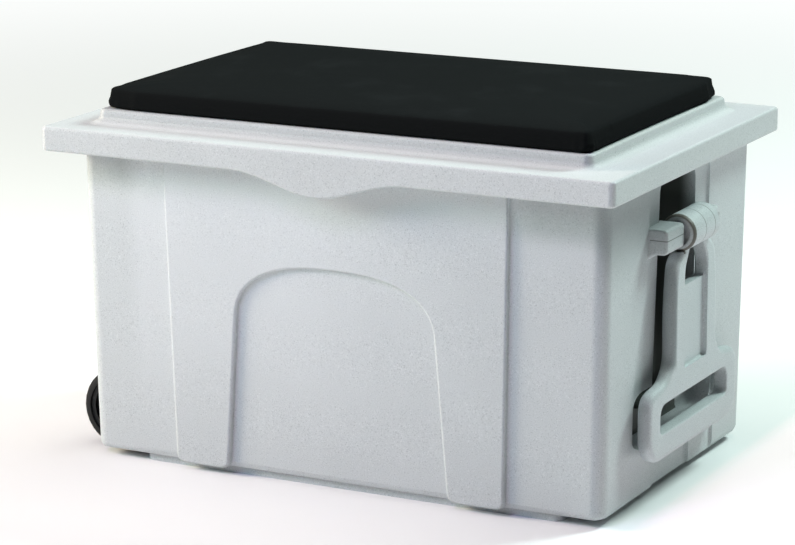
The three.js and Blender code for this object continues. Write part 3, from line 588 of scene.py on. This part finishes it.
def make_finishes() -> dict[Slot, Material]:
    """Build every material of the object once.

    Returns:
        The material of each slot.
    """
    front_wall: Ramp = (Y, -0.150, -0.170)
    short_of_corner: Ramp = (X, 0.312, 0.300)
    tub_line_and_painted_shading = (
        # painted shade on the end wall in front of the handle, under the lid at the front wall's left top corner
        # and over its right half, painted light on its paler left half, and painted shade under the lid beside the
        # right corner
        PaintedLightPatch(((Z, 0.235, 0.315), (X, 0.292, 0.308), (Y, -0.015, -0.030)), 0.56),
        PaintedLightPatch(((Z, 0.296, 0.326), (X, -0.225, -0.262), front_wall), 0.34),
        PaintedLightPatch(((X, 0.060, 0.290), front_wall, short_of_corner), 0.11),
        PaintedLightPatch(((X, 0.110, -0.050), (X, -0.262, -0.235), front_wall, (Z, 0.345, 0.300), (Z, 0.010, 0.200)),
                 0.28, (0.76, 0.78, 0.81)),
        PaintedLightPatch(((Z, 0.288, 0.312), (X, 0.190, 0.240), front_wall, short_of_corner), 0.28),
        # painted shade deep in the channel behind the arm
        PaintedChannelShade(),
        FineLine(Z, 0.2850, (0.3125, -0.083, 0.268), (0.350, -0.033, 0.300)),
    )
    lid_painted_shading = (
        # painted shade on the lid's sides, painted light on its paler top, and painted shade on the front of the seat's
        # platform
        PaintedLightPatch(((Z, 0.3745, 0.3715),), 0.10),
        PaintedLightPatch(((Z, 0.3742, 0.3752), (Z, 0.3800, 0.3770)), 0.28, (0.80, 0.82, 0.83)),
        PaintedLightPatch(((Z, 0.3765, 0.3790), (Y, -0.172, -0.180)), 0.13),
    )
    barrel_low, barrel_high = (0.300, -0.040, 0.268), (0.350, 0.045, 0.310)
    handle_lines_and_painted_shading = (
        # painted shade on the front flank of the arm and of the grip, then a dark brownish band round the barrel's near
        # end and the barrel's seams
        PaintedLightPatch(((Y, -0.0460, -0.0515), (Z, 0.266, 0.252), (Z, 0.138, 0.150)), 0.62),
        PaintedLightPatch(((Y, -0.1130, -0.1175), (Z, 0.128, 0.118)), 0.40),
        FineLine(Y, -0.030, (0.300, -0.040, 0.262), barrel_high, 0.0026, tint=(0.12, 0.11, 0.095)),
        FineLine(Y, -0.001, barrel_low, barrel_high),
        FineLine(Y, 0.024, barrel_low, barrel_high),
    )
    return {
        Slot.TUB: SpeckledPlastic("tub_speckled_plastic", marks=tub_line_and_painted_shading).make(),
        Slot.LID: SpeckledPlastic("lid_speckled_plastic", base=(0.585, 0.605, 0.612), marks=lid_painted_shading).make(),
        Slot.HANDLE: SpeckledPlastic("handle_speckled_plastic", base=(0.53, 0.565, 0.578), marks=handle_lines_and_painted_shading).make(),
        Slot.SEAT: SeatCloth("seat_cloth").make(),
        Slot.STEEL: SatinSteel("satin_steel").make(),
        Slot.BOARD: BareBoard("bare_board").make(),
        Slot.HUB: DarkMoulding("hub_moulding", (0.37, 0.57)).make(),
        Slot.TYRE: DarkMoulding("tyre_rubber", (0.70, 0.90), grain=1400.0).make(),
    }


# Mesh helpers


def new_object(name: str, mesh: Mesh) -> Object:
    """Put a mesh into the scene.

    Args:
        name: The object's name.
        mesh: Its mesh, in place.

    Returns:
        The object, at the origin.
    """
    piece = bpy.data.objects.new(name, mesh)
    bpy.context.scene.collection.objects.link(piece)
    return piece


def mesh_from(name: str, shape: bmesh.types.BMesh) -> Mesh:
    """Turn a working mesh into a lasting one, and free it.

    Args:
        name: The mesh's name.
        shape: The working mesh.

    Returns:
        The mesh.
    """
    mesh = bpy.data.meshes.new(name)
    shape.to_mesh(mesh)
    shape.free()
    return mesh


def soften(mesh: Mesh, sharp_angle: float) -> None:
    """Shade a mesh smooth, but for edges that turn by more than an angle.

    Args:
        mesh: The mesh.
        sharp_angle: The least turn of a sharp edge, in degrees.
    """
    shape = bmesh.new()
    shape.from_mesh(mesh)
    limit = math.radians(sharp_angle)
    for face in shape.faces:
        face.smooth = True
    for edge in shape.edges:
        edge.smooth = edge.is_manifold and edge.calc_face_angle(math.pi) < limit
    shape.to_mesh(mesh)
    shape.free()


def evaluated_mesh(piece: Object) -> Mesh:
    """The plain mesh that an object's modifiers give.

    Args:
        piece: The object.

    Returns:
        A new mesh.
    """
    bpy.context.view_layer.update()
    graph = bpy.context.evaluated_depsgraph_get()
    return bpy.data.meshes.new_from_object(piece.evaluated_get(graph), preserve_all_data_layers=True, depsgraph=graph)


def bake_modifiers(piece: Object) -> None:
    """Replace an object's mesh by what its modifiers give, and remove them.

    Args:
        piece: The object.
    """
    made = evaluated_mesh(piece)
    piece.modifiers.clear()
    piece.data = made


@dataclass
class Model:
    """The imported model's nodes and the finishes, from which new pieces are made."""

    nodes: dict[str, Object]
    finishes: dict[Slot, Material]
    merge_distance: float = 2e-5
    sharp_angle: float = 50.0
    face_weight: int = 100
    bare: tuple[str, ...] = (
        "hinge_tub_leaf_left", "hinge_tub_leaf_right", "hinge_lid_leaf_left", "hinge_lid_leaf_right",
        "hinge_pin_left", "hinge_pin_right", "handle_pin", "wheel_axle",
    )

    def merged_copy(self, node: str, name: str) -> Object:
        """Copy a node with its loose triangles merged and shaded smooth.

        Args:
            node: The CAD node's name.
            name: The copy's name.

        Returns:
            The copy, with normals weighted by face area.
        """
        shape = bmesh.new()
        shape.from_mesh(self.nodes[node].data)
        bmesh.ops.remove_doubles(shape, verts=shape.verts, dist=self.merge_distance)
        bmesh.ops.dissolve_degenerate(shape, edges=shape.edges, dist=self.merge_distance / 2)
        mesh = mesh_from(name, shape)
        soften(mesh, self.sharp_angle)
        piece = new_object(name, mesh)
        weighted = piece.modifiers.new("weighted", "WEIGHTED_NORMAL")
        weighted.keep_sharp = True
        weighted.weight = self.face_weight
        bake_modifiers(piece)
        return piece

    def dress(self, piece: Object, slot: Slot) -> None:
        """Give an object the finish of a slot."""
        piece.data.materials.clear()
        piece.data.materials.append(self.finishes[slot])

    def seat(self, piece: Object, body: Body, slot: Slot, replaced: Sequence[str] = ()) -> None:
        """Give a new piece its finish and its body, and report it.

        Args:
            piece: The object.
            body: The body it rides on.
            slot: The record's slot for its finish.
            replaced: The CAD nodes it stands for.
        """
        self.dress(piece, slot)
        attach(piece, body.value)
        if replaced:
            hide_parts(*replaced)
        LOG.info("%s: %d faces on %s", piece.name, len(piece.data.polygons), body.value)

    def dress_hardware(self) -> None:
        """Give the CAD nodes that stay as they are their steel."""
        for node in self.bare:
            self.dress(self.nodes[node], Slot.STEEL)
            LOG.info("%s: CAD node dressed", node)


# Geometry Nodes


class Sockets(Enum):
    """Input socket types of a Geometry Nodes tree."""

    NUMBER = "NodeSocketFloat"
    COUNT = "NodeSocketInt"
    FINISH = "NodeSocketMaterial"
    SHAPE = "NodeSocketObject"


class Generator(NodeTree):
    """A Geometry Nodes tree with named inputs that ends in Realize Instances and Set Material."""

    def __init__(self, name: str, sockets: dict[str, Sockets]) -> None:
        """Start a tree.

        Args:
            name: The tree's name.
            sockets: Its named inputs, after its geometry.
        """
        group = bpy.data.node_groups.new(name, "GeometryNodeTree")
        super().__init__(group)
        group.interface.new_socket("Geometry", in_out="INPUT", socket_type="NodeSocketGeometry")
        group.interface.new_socket("Geometry", in_out="OUTPUT", socket_type="NodeSocketGeometry")
        self.identifiers = {
            label: group.interface.new_socket(label, in_out="INPUT", socket_type=kind.value).identifier
            for label, kind in sockets.items()
        }
        self.entry = group.nodes.new("NodeGroupInput")

    def given(self, label: str) -> Signal:
        """One of the tree's inputs, by its name."""
        return Signal(self, self.entry.outputs[label])

    def close(self, shape: Signal) -> None:
        """End the tree.

        Args:
            shape: The geometry that the tree makes.
        """
        real = self.node("GeometryNodeRealizeInstances", {}, {"Geometry": shape})
        dressed = self.node("GeometryNodeSetMaterial", {}, {"Geometry": real, "Material": self.given("Material")})
        self.tree.links.new(dressed.socket, self.tree.nodes.new("NodeGroupOutput").inputs[0])

    def grow(self, name: str, start: Mesh, values: dict[str, Any]) -> Object:
        """Run the tree on a mesh.

        Args:
            name: The new object's name.
            start: The mesh that the tree starts from.
            values: Values of its named inputs.

        Returns:
            An object with the plain mesh that the tree makes.
        """
        piece = new_object(name, start)
        modifier = piece.modifiers.new("grow", "NODES")
        modifier.node_group = self.tree
        for label, value in values.items():
            modifier[self.identifiers[label]] = value
        bake_modifiers(piece)
        return piece


# Seat


@dataclass
class SeatCushion:
    """The foam pad in its cloth cover: a cloth simulation swells it, and pleats follow at the corners."""

    node: str = "seat_cushion"
    side_inset: float = 0.0030
    top_inset: float = 0.0020
    voxel: float = 0.005
    edge_smoothing: int = 3
    smoothing_share: float = 0.5
    quality: int = 6
    mass: float = 0.25
    stretch_stiffness: float = 18.0
    shear_stiffness: float = 8.0
    bending_stiffness: float = 0.6
    pressure: float = 4.0
    frames: int = 20
    cap: float = 0.0034
    rest_band: float = 0.003
    side_middle: float = 0.5
    side_starts: Band = (0.96, 0.94)
    draw_in: float = 0.0010
    draw_power: int = 5
    corner_reach: float = 0.042
    corner_ease: float = 0.7
    corner_pulls: tuple[tuple[int, int, float], ...] = ((-1, -1, 0.0040), (1, 1, 0.0066), (-1, 1, 0.0016))
    foot_band: float = 0.010
    foot_spread: float = 0.0005
    crown_keep: float = 0.55
    upright_ease: float = 1.5
    pleat_depth: float = 0.0007
    pleat_pitch: float = 0.0085
    pleat_reach: float = 0.045
    pleat_fade: float = 1.15
    pleat_stray: Band = (1.7, 31.0)
    hem_height: float = 0.0045
    hem_depth: float = 0.0006
    hem_width: float = 0.0012

    def start(self, model: Model) -> Object:
        """Take the CAD pad's outer form, a little smaller on its sides and top, and remesh it evenly.

        Args:
            model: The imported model.

        Returns:
            The start shape.
        """
        shape = bmesh.new()
        shape.from_mesh(model.nodes[self.node].data)
        hull = bmesh.ops.convex_hull(shape, input=shape.verts)
        inner = [e for e in hull["geom_interior"] + hull["geom_unused"] if isinstance(e, bmesh.types.BMVert)]
        bmesh.ops.delete(shape, geom=inner, context="VERTS")
        piece = new_object("cushion", mesh_from("cushion", shape))
        low, high = map(Vector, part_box(self.node))
        middle = (low + high) / 2
        shrink = [1 - 2 * self.side_inset / (high[i] - low[i]) for i in (0, 1)]
        drop = 1 - self.top_inset / (high.z - low.z)
        for vertex in piece.data.vertices:
            x, y, z = vertex.co
            vertex.co = (
                middle.x + (x - middle.x) * shrink[0],
                middle.y + (y - middle.y) * shrink[1],
                low.z + (z - low.z) * drop,
            )
        remesh = piece.modifiers.new("remesh", "REMESH")
        remesh.mode = "VOXEL"
        remesh.voxel_size = self.voxel
        remesh.use_smooth_shade = True
        smooth = piece.modifiers.new("smooth", "SMOOTH")
        smooth.factor = self.smoothing_share
        smooth.iterations = self.edge_smoothing
        bake_modifiers(piece)
        return piece

    def swell(self, piece: Object) -> None:
        """Blow the cover up with a cloth simulation, held along its underside.

        Args:
            piece: The start shape.
        """
        before = [vertex.co.copy() for vertex in piece.data.vertices]
        floor = min(co.z for co in before)
        held = piece.vertex_groups.new(name="held")
        held.add([i for i, co in enumerate(before) if co.z < floor + self.rest_band], 1.0, "REPLACE")
        cloth = piece.modifiers.new("cloth", "CLOTH")
        settings = cloth.settings
        settings.quality = self.quality
        settings.mass = self.mass
        settings.tension_stiffness = settings.compression_stiffness = self.stretch_stiffness
        settings.shear_stiffness = self.shear_stiffness
        settings.bending_stiffness = self.bending_stiffness
        settings.use_pressure = True
        settings.uniform_pressure_force = self.pressure
        settings.effector_weights.gravity = 0.0
        settings.vertex_group_mass = held.name
        cloth.collision_settings.use_collision = False
        cloth.point_cache.frame_start = 1
        cloth.point_cache.frame_end = self.frames
        scene = bpy.context.scene
        for number in range(1, self.frames + 1):
            scene.frame_set(number)
        swollen = evaluated_mesh(piece)
        piece.modifiers.clear()
        for vertex, co, new in zip(piece.data.vertices, before, swollen.vertices):
            step = new.co - co
            if step.length > self.cap:
                step *= self.cap / step.length
            vertex.co = co + step
        bpy.data.meshes.remove(swollen)
        scene.frame_set(1)
        piece.vertex_groups.clear()

    def fit(self, piece: Object) -> None:
        """Subdivide the pad, draw its sides and corners in, and keep it in the CAD pad's own box.

        Args:
            piece: The swollen pad.
        """
        level = piece.modifiers.new("round", "SUBSURF")
        level.levels = level.render_levels = 1
        bake_modifiers(piece)
        low, high = map(Vector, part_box(self.node))
        middle = (low + high) / 2
        grow = []
        for side, other in ((X, Y), (Y, X)):
            limit = self.side_middle * (high[other] - middle[other])
            reach = max(abs(vertex.co[side] - middle[side]) for vertex in piece.data.vertices
                        if abs(vertex.co[other] - middle[other]) < limit)
            grow.append((high[side] - middle[side]) / reach)
        top = max(vertex.co.z for vertex in piece.data.vertices)
        for vertex in piece.data.vertices:
            x, y, z = vertex.co
            x = middle.x + (x - middle.x) * grow[0]
            y = middle.y + (y - middle.y) * grow[1]
            if z > middle.z:
                z = high.z - (top - z) * self.crown_keep
            across = 2 * (y - low.y) / (high.y - low.y) - 1
            along = 2 * (x - low.x) / (high.x - low.x) - 1
            foot = self.foot_spread * max(0.0, 1.0 - (z - low.z) / self.foot_band)
            x += math.copysign(foot, along) * (abs(along) > self.side_starts[X])
            y += math.copysign(foot, across) * (abs(across) > self.side_starts[Y])
            x -= self.draw_in * along ** self.draw_power * (1 - across ** 2)
            y -= self.draw_in * across ** self.draw_power * (1 - along ** 2)
            for side_x, side_y, pull in self.corner_pulls:
                edge_x = high.x if side_x > 0 else low.x
                edge_y = high.y if side_y > 0 else low.y
                near = max(0.0, 1.0 - math.hypot(x - edge_x, y - edge_y) / self.corner_reach)
                x -= side_x * pull * near ** self.corner_ease
                y -= side_y * pull * near ** self.corner_ease
            vertex.co = (min(max(x, low.x), high.x), min(max(y, low.y), high.y), min(max(z, low.z), high.z))

    def sew(self, piece: Object) -> None:
        """Press the hem's line and the gathered pleats of the corners into the sides.

        Args:
            piece: The fitted pad.
        """
        low, high = map(Vector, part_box(self.node))
        stray, stray_rate = self.pleat_stray
        steps = []
        for vertex in piece.data.vertices:
            normal, co = vertex.normal, vertex.co
            upright = max(0.0, 1.0 - abs(normal.z)) ** self.upright_ease
            rise = (co.z - low.z) / (high.z - low.z)
            corner = abs(high.x - abs(co.x)) + min(high.y - co.y, co.y - low.y)
            nearness = max(0.0, 1.0 - corner / self.pleat_reach)
            along = co.x if abs(normal.y) > abs(normal.x) else co.y
            wave = math.sin(2 * math.pi * along / self.pleat_pitch + stray * math.sin(stray_rate * along))
            depth = self.pleat_depth * wave * nearness * max(0.0, 1.0 - self.pleat_fade * rise)
            hem = -self.hem_depth * math.exp(-(((co.z - low.z - self.hem_height) / self.hem_width) ** 2))
            steps.append(normal * (depth + hem) * upright)
        for vertex, step in zip(piece.data.vertices, steps):
            vertex.co += step
        piece.data.shade_smooth()

    def build(self, model: Model) -> None:
        """Make the cushion in place of the CAD pad.

        Args:
            model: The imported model.
        """
        piece = self.start(model)
        self.swell(piece)
        self.fit(piece)
        self.sew(piece)
        model.seat(piece, Body.LID, Slot.SEAT, [self.node])


@dataclass
class SeatBoard:
    """The plywood board inside the cover, held clear of the cloth."""

    node: str = "cushion_board"
    plan_scale: float = 0.97

    def build(self, model: Model) -> None:
        """Make the board in place of the CAD board.

        Args:
            model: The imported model.
        """
        piece = model.merged_copy(self.node, "seat_board")
        for vertex in piece.data.vertices:
            x, y, z = vertex.co
            vertex.co = (x * self.plan_scale, y * self.plan_scale, z)
        model.seat(piece, Body.LID, Slot.BOARD, [self.node])


# Mouldings


@dataclass
class Mouldings:
    """The tub, the lid and the tow handle: smooth copies of the CAD nodes."""

    parts: tuple[tuple[str, str, Body, Slot], ...] = (
        ("tub_shell", "tub", Body.TUB, Slot.TUB),
        ("lid_shell", "lid", Body.LID, Slot.LID),
        ("tow_handle", "handle", Body.HANDLE, Slot.HANDLE),
    )

    def build(self, model: Model) -> None:
        """Make the three mouldings."""
        for node, name, body, slot in self.parts:
            model.seat(model.merged_copy(node, name), body, slot, [node])


@dataclass
class PlatformCove:
    """The hollow fillet that leads the lid's top up into the seat's platform."""

    half_length: float = 0.2937
    half_depth: float = 0.1852
    corner_radius: float = 0.013
    base_height: float = 0.3754
    rise: float = 0.0075
    reach: float = 0.010
    side_lean: float = 0.196
    root: float = 0.0008
    lift: float = 0.00004
    steps: int = 10
    corner_steps: int = 12

    def profile(self) -> list[Band]:
        """The fillet's section, from the platform's side to the lid's top and back underneath.

        Returns:
            Pairs of the distance out from the platform's foot and the height over the lid's top.
        """
        points = []
        for k in range(self.steps + 1):
            angle = k / self.steps * math.pi / 2
            height = self.rise * (1 - math.sin(angle))
            lean = self.side_lean * height * math.cos(angle)
            points.append((self.reach * (1 - math.cos(angle)) - lean, height + self.lift))
        points.append((self.reach, -self.root))
        points.append((-self.side_lean * self.rise - self.root, -self.root))
        points.append((-self.side_lean * self.rise - self.root, self.rise))
        return points

    def build(self, model: Model) -> None:
        """Sweep the section round the platform.

        Args:
            model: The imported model.
        """
        shape = bmesh.new()
        rings = []
        for corner in range(4):
            middle_x = (self.half_length - self.corner_radius) * (1 if corner in (0, 3) else -1)
            middle_y = (self.half_depth - self.corner_radius) * (1 if corner in (0, 1) else -1)
            for k in range(self.corner_steps + 1):
                angle = (corner + k / self.corner_steps) * math.pi / 2
                rings.append([
                    shape.verts.new((
                        middle_x + (self.corner_radius + out) * math.cos(angle),
                        middle_y + (self.corner_radius + out) * math.sin(angle),
                        self.base_height + up,
                    ))
                    for out, up in self.profile()
                ])
        for ring, after in zip(rings, rings[1:] + rings[:1]):
            for i in range(len(ring)):
                j = (i + 1) % len(ring)
                shape.faces.new((ring[i], ring[j], after[j], after[i]))
        bmesh.ops.recalc_face_normals(shape, faces=shape.faces)
        mesh = mesh_from("platform_cove", shape)
        soften(mesh, SHARP_ANGLE)
        model.seat(new_object("platform_cove", mesh), Body.LID, Slot.LID)


# Studio


@dataclass(frozen=True)
class Viewpoint:
    """The camera's place, turn and focal length, from the straight edges in the photograph."""

    place: Point = (1.5241, -2.9572, 1.0062)
    yaw: float = 27.6055
    pitch: float = 13.6167
    roll: float = -0.3515
    focal_pixels: float = 3108.75
    image_width: float = 795.0
    sensor_width: float = 36.0
    clip_end: float = 60.0

    def build(self) -> None:
        """Make the camera and use it."""
        yaw, pitch, roll = (math.radians(a) for a in (self.yaw, self.pitch, self.roll))
        ahead = Vector((-math.sin(yaw) * math.cos(pitch), math.cos(yaw) * math.cos(pitch), -math.sin(pitch)))
        right = Vector((math.cos(yaw), math.sin(yaw), 0.0))
        up = right.cross(ahead)
        side = right * math.cos(roll) + up * math.sin(roll)
        top = up * math.cos(roll) - right * math.sin(roll)
        data = bpy.data.cameras.new("camera")
        data.sensor_width = self.sensor_width
        data.lens = self.focal_pixels / self.image_width * self.sensor_width
        data.clip_end = self.clip_end
        camera = bpy.data.objects.new("camera", data)
        bpy.context.scene.collection.objects.link(camera)
        camera.matrix_world = Matrix((side, top, -ahead)).transposed().to_4x4()
        camera.location = self.place
        bpy.context.scene.camera = camera


@dataclass(frozen=True)
class SoftLight:
    """One area light that points at a place."""

    name: str
    place: Point
    size: float
    watts: float
    tint: Tint
    target: Point = (0.0, -0.1, 0.2)

    def build(self) -> None:
        """Make the light."""
        data = bpy.data.lights.new(self.name, "AREA")
        data.shape = "DISK"
        data.size = self.size
        data.energy = self.watts
        data.color = self.tint
        lamp = bpy.data.objects.new(self.name, data)
        lamp.location = self.place
        lamp.rotation_euler = (Vector(self.target) - Vector(self.place)).to_track_quat("-Z", "Y").to_euler()
        bpy.context.scene.collection.objects.link(lamp)


@dataclass
class Studio:
    """Pale round floor, soft lights, a faint world and the camera."""

    floor_rings: tuple[float, ...] = (0.5, 1.0, 2.0, 5.0, 15.0, 40.0)
    sectors: int = 64
    world_strength: float = 0.005
    lights: tuple[SoftLight, ...] = (
        SoftLight("left", (-2.7, -1.2, 1.3), 1.1, 93.0, (1.0, 0.88, 0.71)),
        SoftLight("key", (-1.9, -2.4, 1.7), 1.1, 19.0, (0.38, 0.91, 1.0)),
        SoftLight("front_high", (-0.5, -2.3, 2.7), 1.1, 30.0, (0.76, 0.62, 1.0)),
        SoftLight("back_right", (1.5, 1.7, 2.6), 1.0, 89.0, (0.80, 1.0, 0.95), (0.1, 0.0, 0.2)),
        SoftLight("top", (0.0, -0.1, 2.9), 2.2, 31.0, (1.0, 0.98, 0.90), (0.0, 0.0, 0.3)),
    )

    def floor(self) -> None:
        """Build the round flat floor."""
        shape = bmesh.new()
        middle = shape.verts.new((0.0, 0.0, 0.0))
        rows = []
        for reach in self.floor_rings:
            turns = (2 * math.pi * k / self.sectors for k in range(self.sectors))
            rows.append([shape.verts.new((reach * math.cos(a), reach * math.sin(a), 0.0)) for a in turns])
        for k in range(self.sectors):
            after = (k + 1) % self.sectors
            shape.faces.new((middle, rows[0][k], rows[0][after]))
            for near, far in zip(rows, rows[1:]):
                shape.faces.new((near[k], far[k], far[after], near[after]))
        piece = new_object("studio_floor", mesh_from("studio_floor", shape))
        piece.data.materials.append(StudioPaper("studio_paper").make())

    def world(self) -> None:
        """Make the faint even world."""
        world = bpy.data.worlds.new("studio")
        world.use_nodes = True
        world.node_tree.nodes.clear()
        s = NodeTree(world.node_tree)
        sky = s.node("ShaderNodeBackground", {}, {"Color": (1.0, 1.0, 1.0, 1.0), "Strength": self.world_strength})
        s.raw("ShaderNodeOutputWorld", {}, {"Surface": sky})
        bpy.context.scene.world = world

    def build(self) -> None:
        """Make the floor, the lights, the world and the camera."""
        self.floor()
        for light in self.lights:
            light.build()
        self.world()
        bpy.context.scene.view_settings.view_transform = "Standard"
        Viewpoint().build()


# Running gear and fasteners


@dataclass
class RunningGear:
    """The wheels and the ends of their axle and of the handle's pin, as merged smooth copies."""

    ends: tuple[str, ...] = (
        "axle_washer_front", "axle_washer_back", "axle_cap_front", "axle_cap_back", "handle_pin_cap",
    )

    def build(self, model: Model) -> None:
        """Make the copies in place of their CAD nodes.

        Args:
            model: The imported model.
        """
        for side, body in (("front", Body.FRONT_WHEEL), ("back", Body.BACK_WHEEL)):
            for part, slot in (("hub", Slot.HUB), ("tyre", Slot.TYRE)):
                node = f"wheel_{part}_{side}"
                model.seat(model.merged_copy(node, f"{part}_{side}"), body, slot, [node])
        for node in self.ends:
            model.seat(model.merged_copy(node, f"{node}_smooth"), Body.TUB, Slot.STEEL, [node])


class Facing(Enum):
    """The way a screw's head faces: the axis, its sign, and the turn about X from straight up."""

    BACK = (Y, 1, -math.pi / 2)
    DOWN = (Z, -1, math.pi)


@dataclass
class ScrewSet:
    """Screws of one kind on one body: Geometry Nodes put a cross-headed screw at every seat."""

    name: str
    prefix: str
    body: Body
    facing: Facing
    head_radius: float = 0.0040
    head_height: float = 0.0012
    shank_radius: float = 0.0016
    shank_length: float = 0.012
    tip_length: float = 0.001
    tip_share: float = 0.5
    cross_length: float = 0.56
    cross_width: float = 0.13
    cross_floor: Band = (0.35, 0.30)
    head: tuple[Band, ...] = ((0.96, 0.0), (1.0, 0.15), (0.98, 0.45), (0.86, 0.80), (0.66, 0.99))
    segments: int = 48
    seed: int = 7

    def cross(self, turn: float) -> float:
        """Radius of the cross recess in one direction.

        Args:
            turn: The direction, in radians.

        Returns:
            The radius.
        """
        arm, half = self.head_radius * self.cross_length, self.head_radius * self.cross_width
        cos, sin = max(abs(math.cos(turn)), TINY), max(abs(math.sin(turn)), TINY)
        return max(min(arm / cos, half / sin), min(half / cos, arm / sin))

    def template(self) -> Object:
        """Build one screw, its head's seat at the origin and its head upwards.

        Returns:
            The screw.
        """
        wide, tall = self.head_radius, self.head_height
        edge, middle = (tall * share for share in self.cross_floor)
        rings = [(0.0, -self.shank_length), (self.shank_radius * self.tip_share, -self.shank_length),
                 (self.shank_radius, -self.shank_length + self.tip_length), (self.shank_radius, 0.0),
                 *((wide * out, tall * up) for out, up in self.head),
                 (None, tall), (None, edge), (0.0, middle)]
        shape = bmesh.new()
        rows = []
        for radius, height in rings:
            if radius == 0.0:
                rows.append([shape.verts.new((0.0, 0.0, height))])
                continue
            turns = [2 * math.pi * (k + 0.5) / self.segments for k in range(self.segments)]
            spans = [self.cross(a) if radius is None else radius for a in turns]
            rows.append([shape.verts.new((r * math.cos(a), r * math.sin(a), height)) for r, a in zip(spans, turns)])
        for lower, upper in zip(rows, rows[1:]):
            for k in range(self.segments):
                after = (k + 1) % self.segments
                corners = [row[i % len(row)] for row, i in ((lower, k), (lower, after), (upper, after), (upper, k))]
                shape.faces.new(list(dict.fromkeys(corners)))
        bmesh.ops.recalc_face_normals(shape, faces=shape.faces)
        mesh = mesh_from(f"{self.name}_one", shape)
        soften(mesh, SHARP_ANGLE)
        return new_object(mesh.name, mesh)

    def tree(self) -> Generator:
        """Make the tree that puts a screw at every point.

        Returns:
            The tree.
        """
        g = Generator(f"{self.name}_tree", {
            "Screw": Sockets.SHAPE, "Tilt": Sockets.NUMBER, "Seed": Sockets.COUNT, "Material": Sockets.FINISH,
        })
        screw = g.node("GeometryNodeObjectInfo", {"transform_space": "ORIGINAL"}, {
            "Object": g.given("Screw"), "As Instance": True,
        }, "Geometry")
        facing = g.node("ShaderNodeCombineXYZ", {}, {"X": g.given("Tilt")})
        put = g.node("GeometryNodeInstanceOnPoints", {}, {
            "Points": g.given("Geometry"), "Instance": screw, "Rotation": facing,
        })
        chance = g.raw("FunctionNodeRandomValue", {"data_type": "FLOAT"}, {2: 0.0, 3: math.pi, "Seed": g.given("Seed")})
        spin = g.node("ShaderNodeCombineXYZ", {}, {"Z": Signal(g, chance.outputs[1])})
        g.close(g.node("GeometryNodeRotateInstances", {}, {"Instances": put, "Rotation": spin, "Local Space": True}))
        return g

    def build(self, model: Model) -> None:
        """Make the screws in place of their CAD nodes.

        Args:
            model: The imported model.
        """
        nodes = [node for node in model.nodes if node.startswith(self.prefix)]
        axis, sign, tilt = self.facing.value
        shape = bmesh.new()
        for node in nodes:
            low, high = map(Vector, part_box(node))
            seat = (low + high) / 2
            seat[axis] = (high[axis] if sign > 0 else low[axis]) - sign * self.head_height
            shape.verts.new(seat)
        template = self.template()
        piece = self.tree().grow(self.name, mesh_from(self.name, shape), {
            "Screw": template, "Tilt": tilt, "Seed": self.seed, "Material": model.finishes[Slot.STEEL],
        })
        bpy.data.objects.remove(template)
        model.seat(piece, self.body, Slot.STEEL, nodes)


# Scene


def main() -> None:
    """Build the scene."""
    logging.basicConfig(level=logging.INFO, format="%(message)s")
    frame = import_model()
    model = Model(frame["nodes"], make_finishes())
    for assembly in (
        Mouldings(), PlatformCove(), SeatBoard(), SeatCushion(), RunningGear(),
        ScrewSet("tub_hinge_screws", "hinge_tub_screw", Body.TUB, Facing.BACK),
        ScrewSet("lid_hinge_screws", "hinge_lid_screw", Body.LID, Facing.DOWN),
        ScrewSet("seat_screws", "cushion_screw", Body.LID, Facing.DOWN,
                 head_radius=0.0070, head_height=0.0022, shank_radius=0.00165, shank_length=0.0146),
    ):
        assembly.build(model)
    model.dress_hardware()
    Studio().build()


if __name__ == "__main__":
    main()
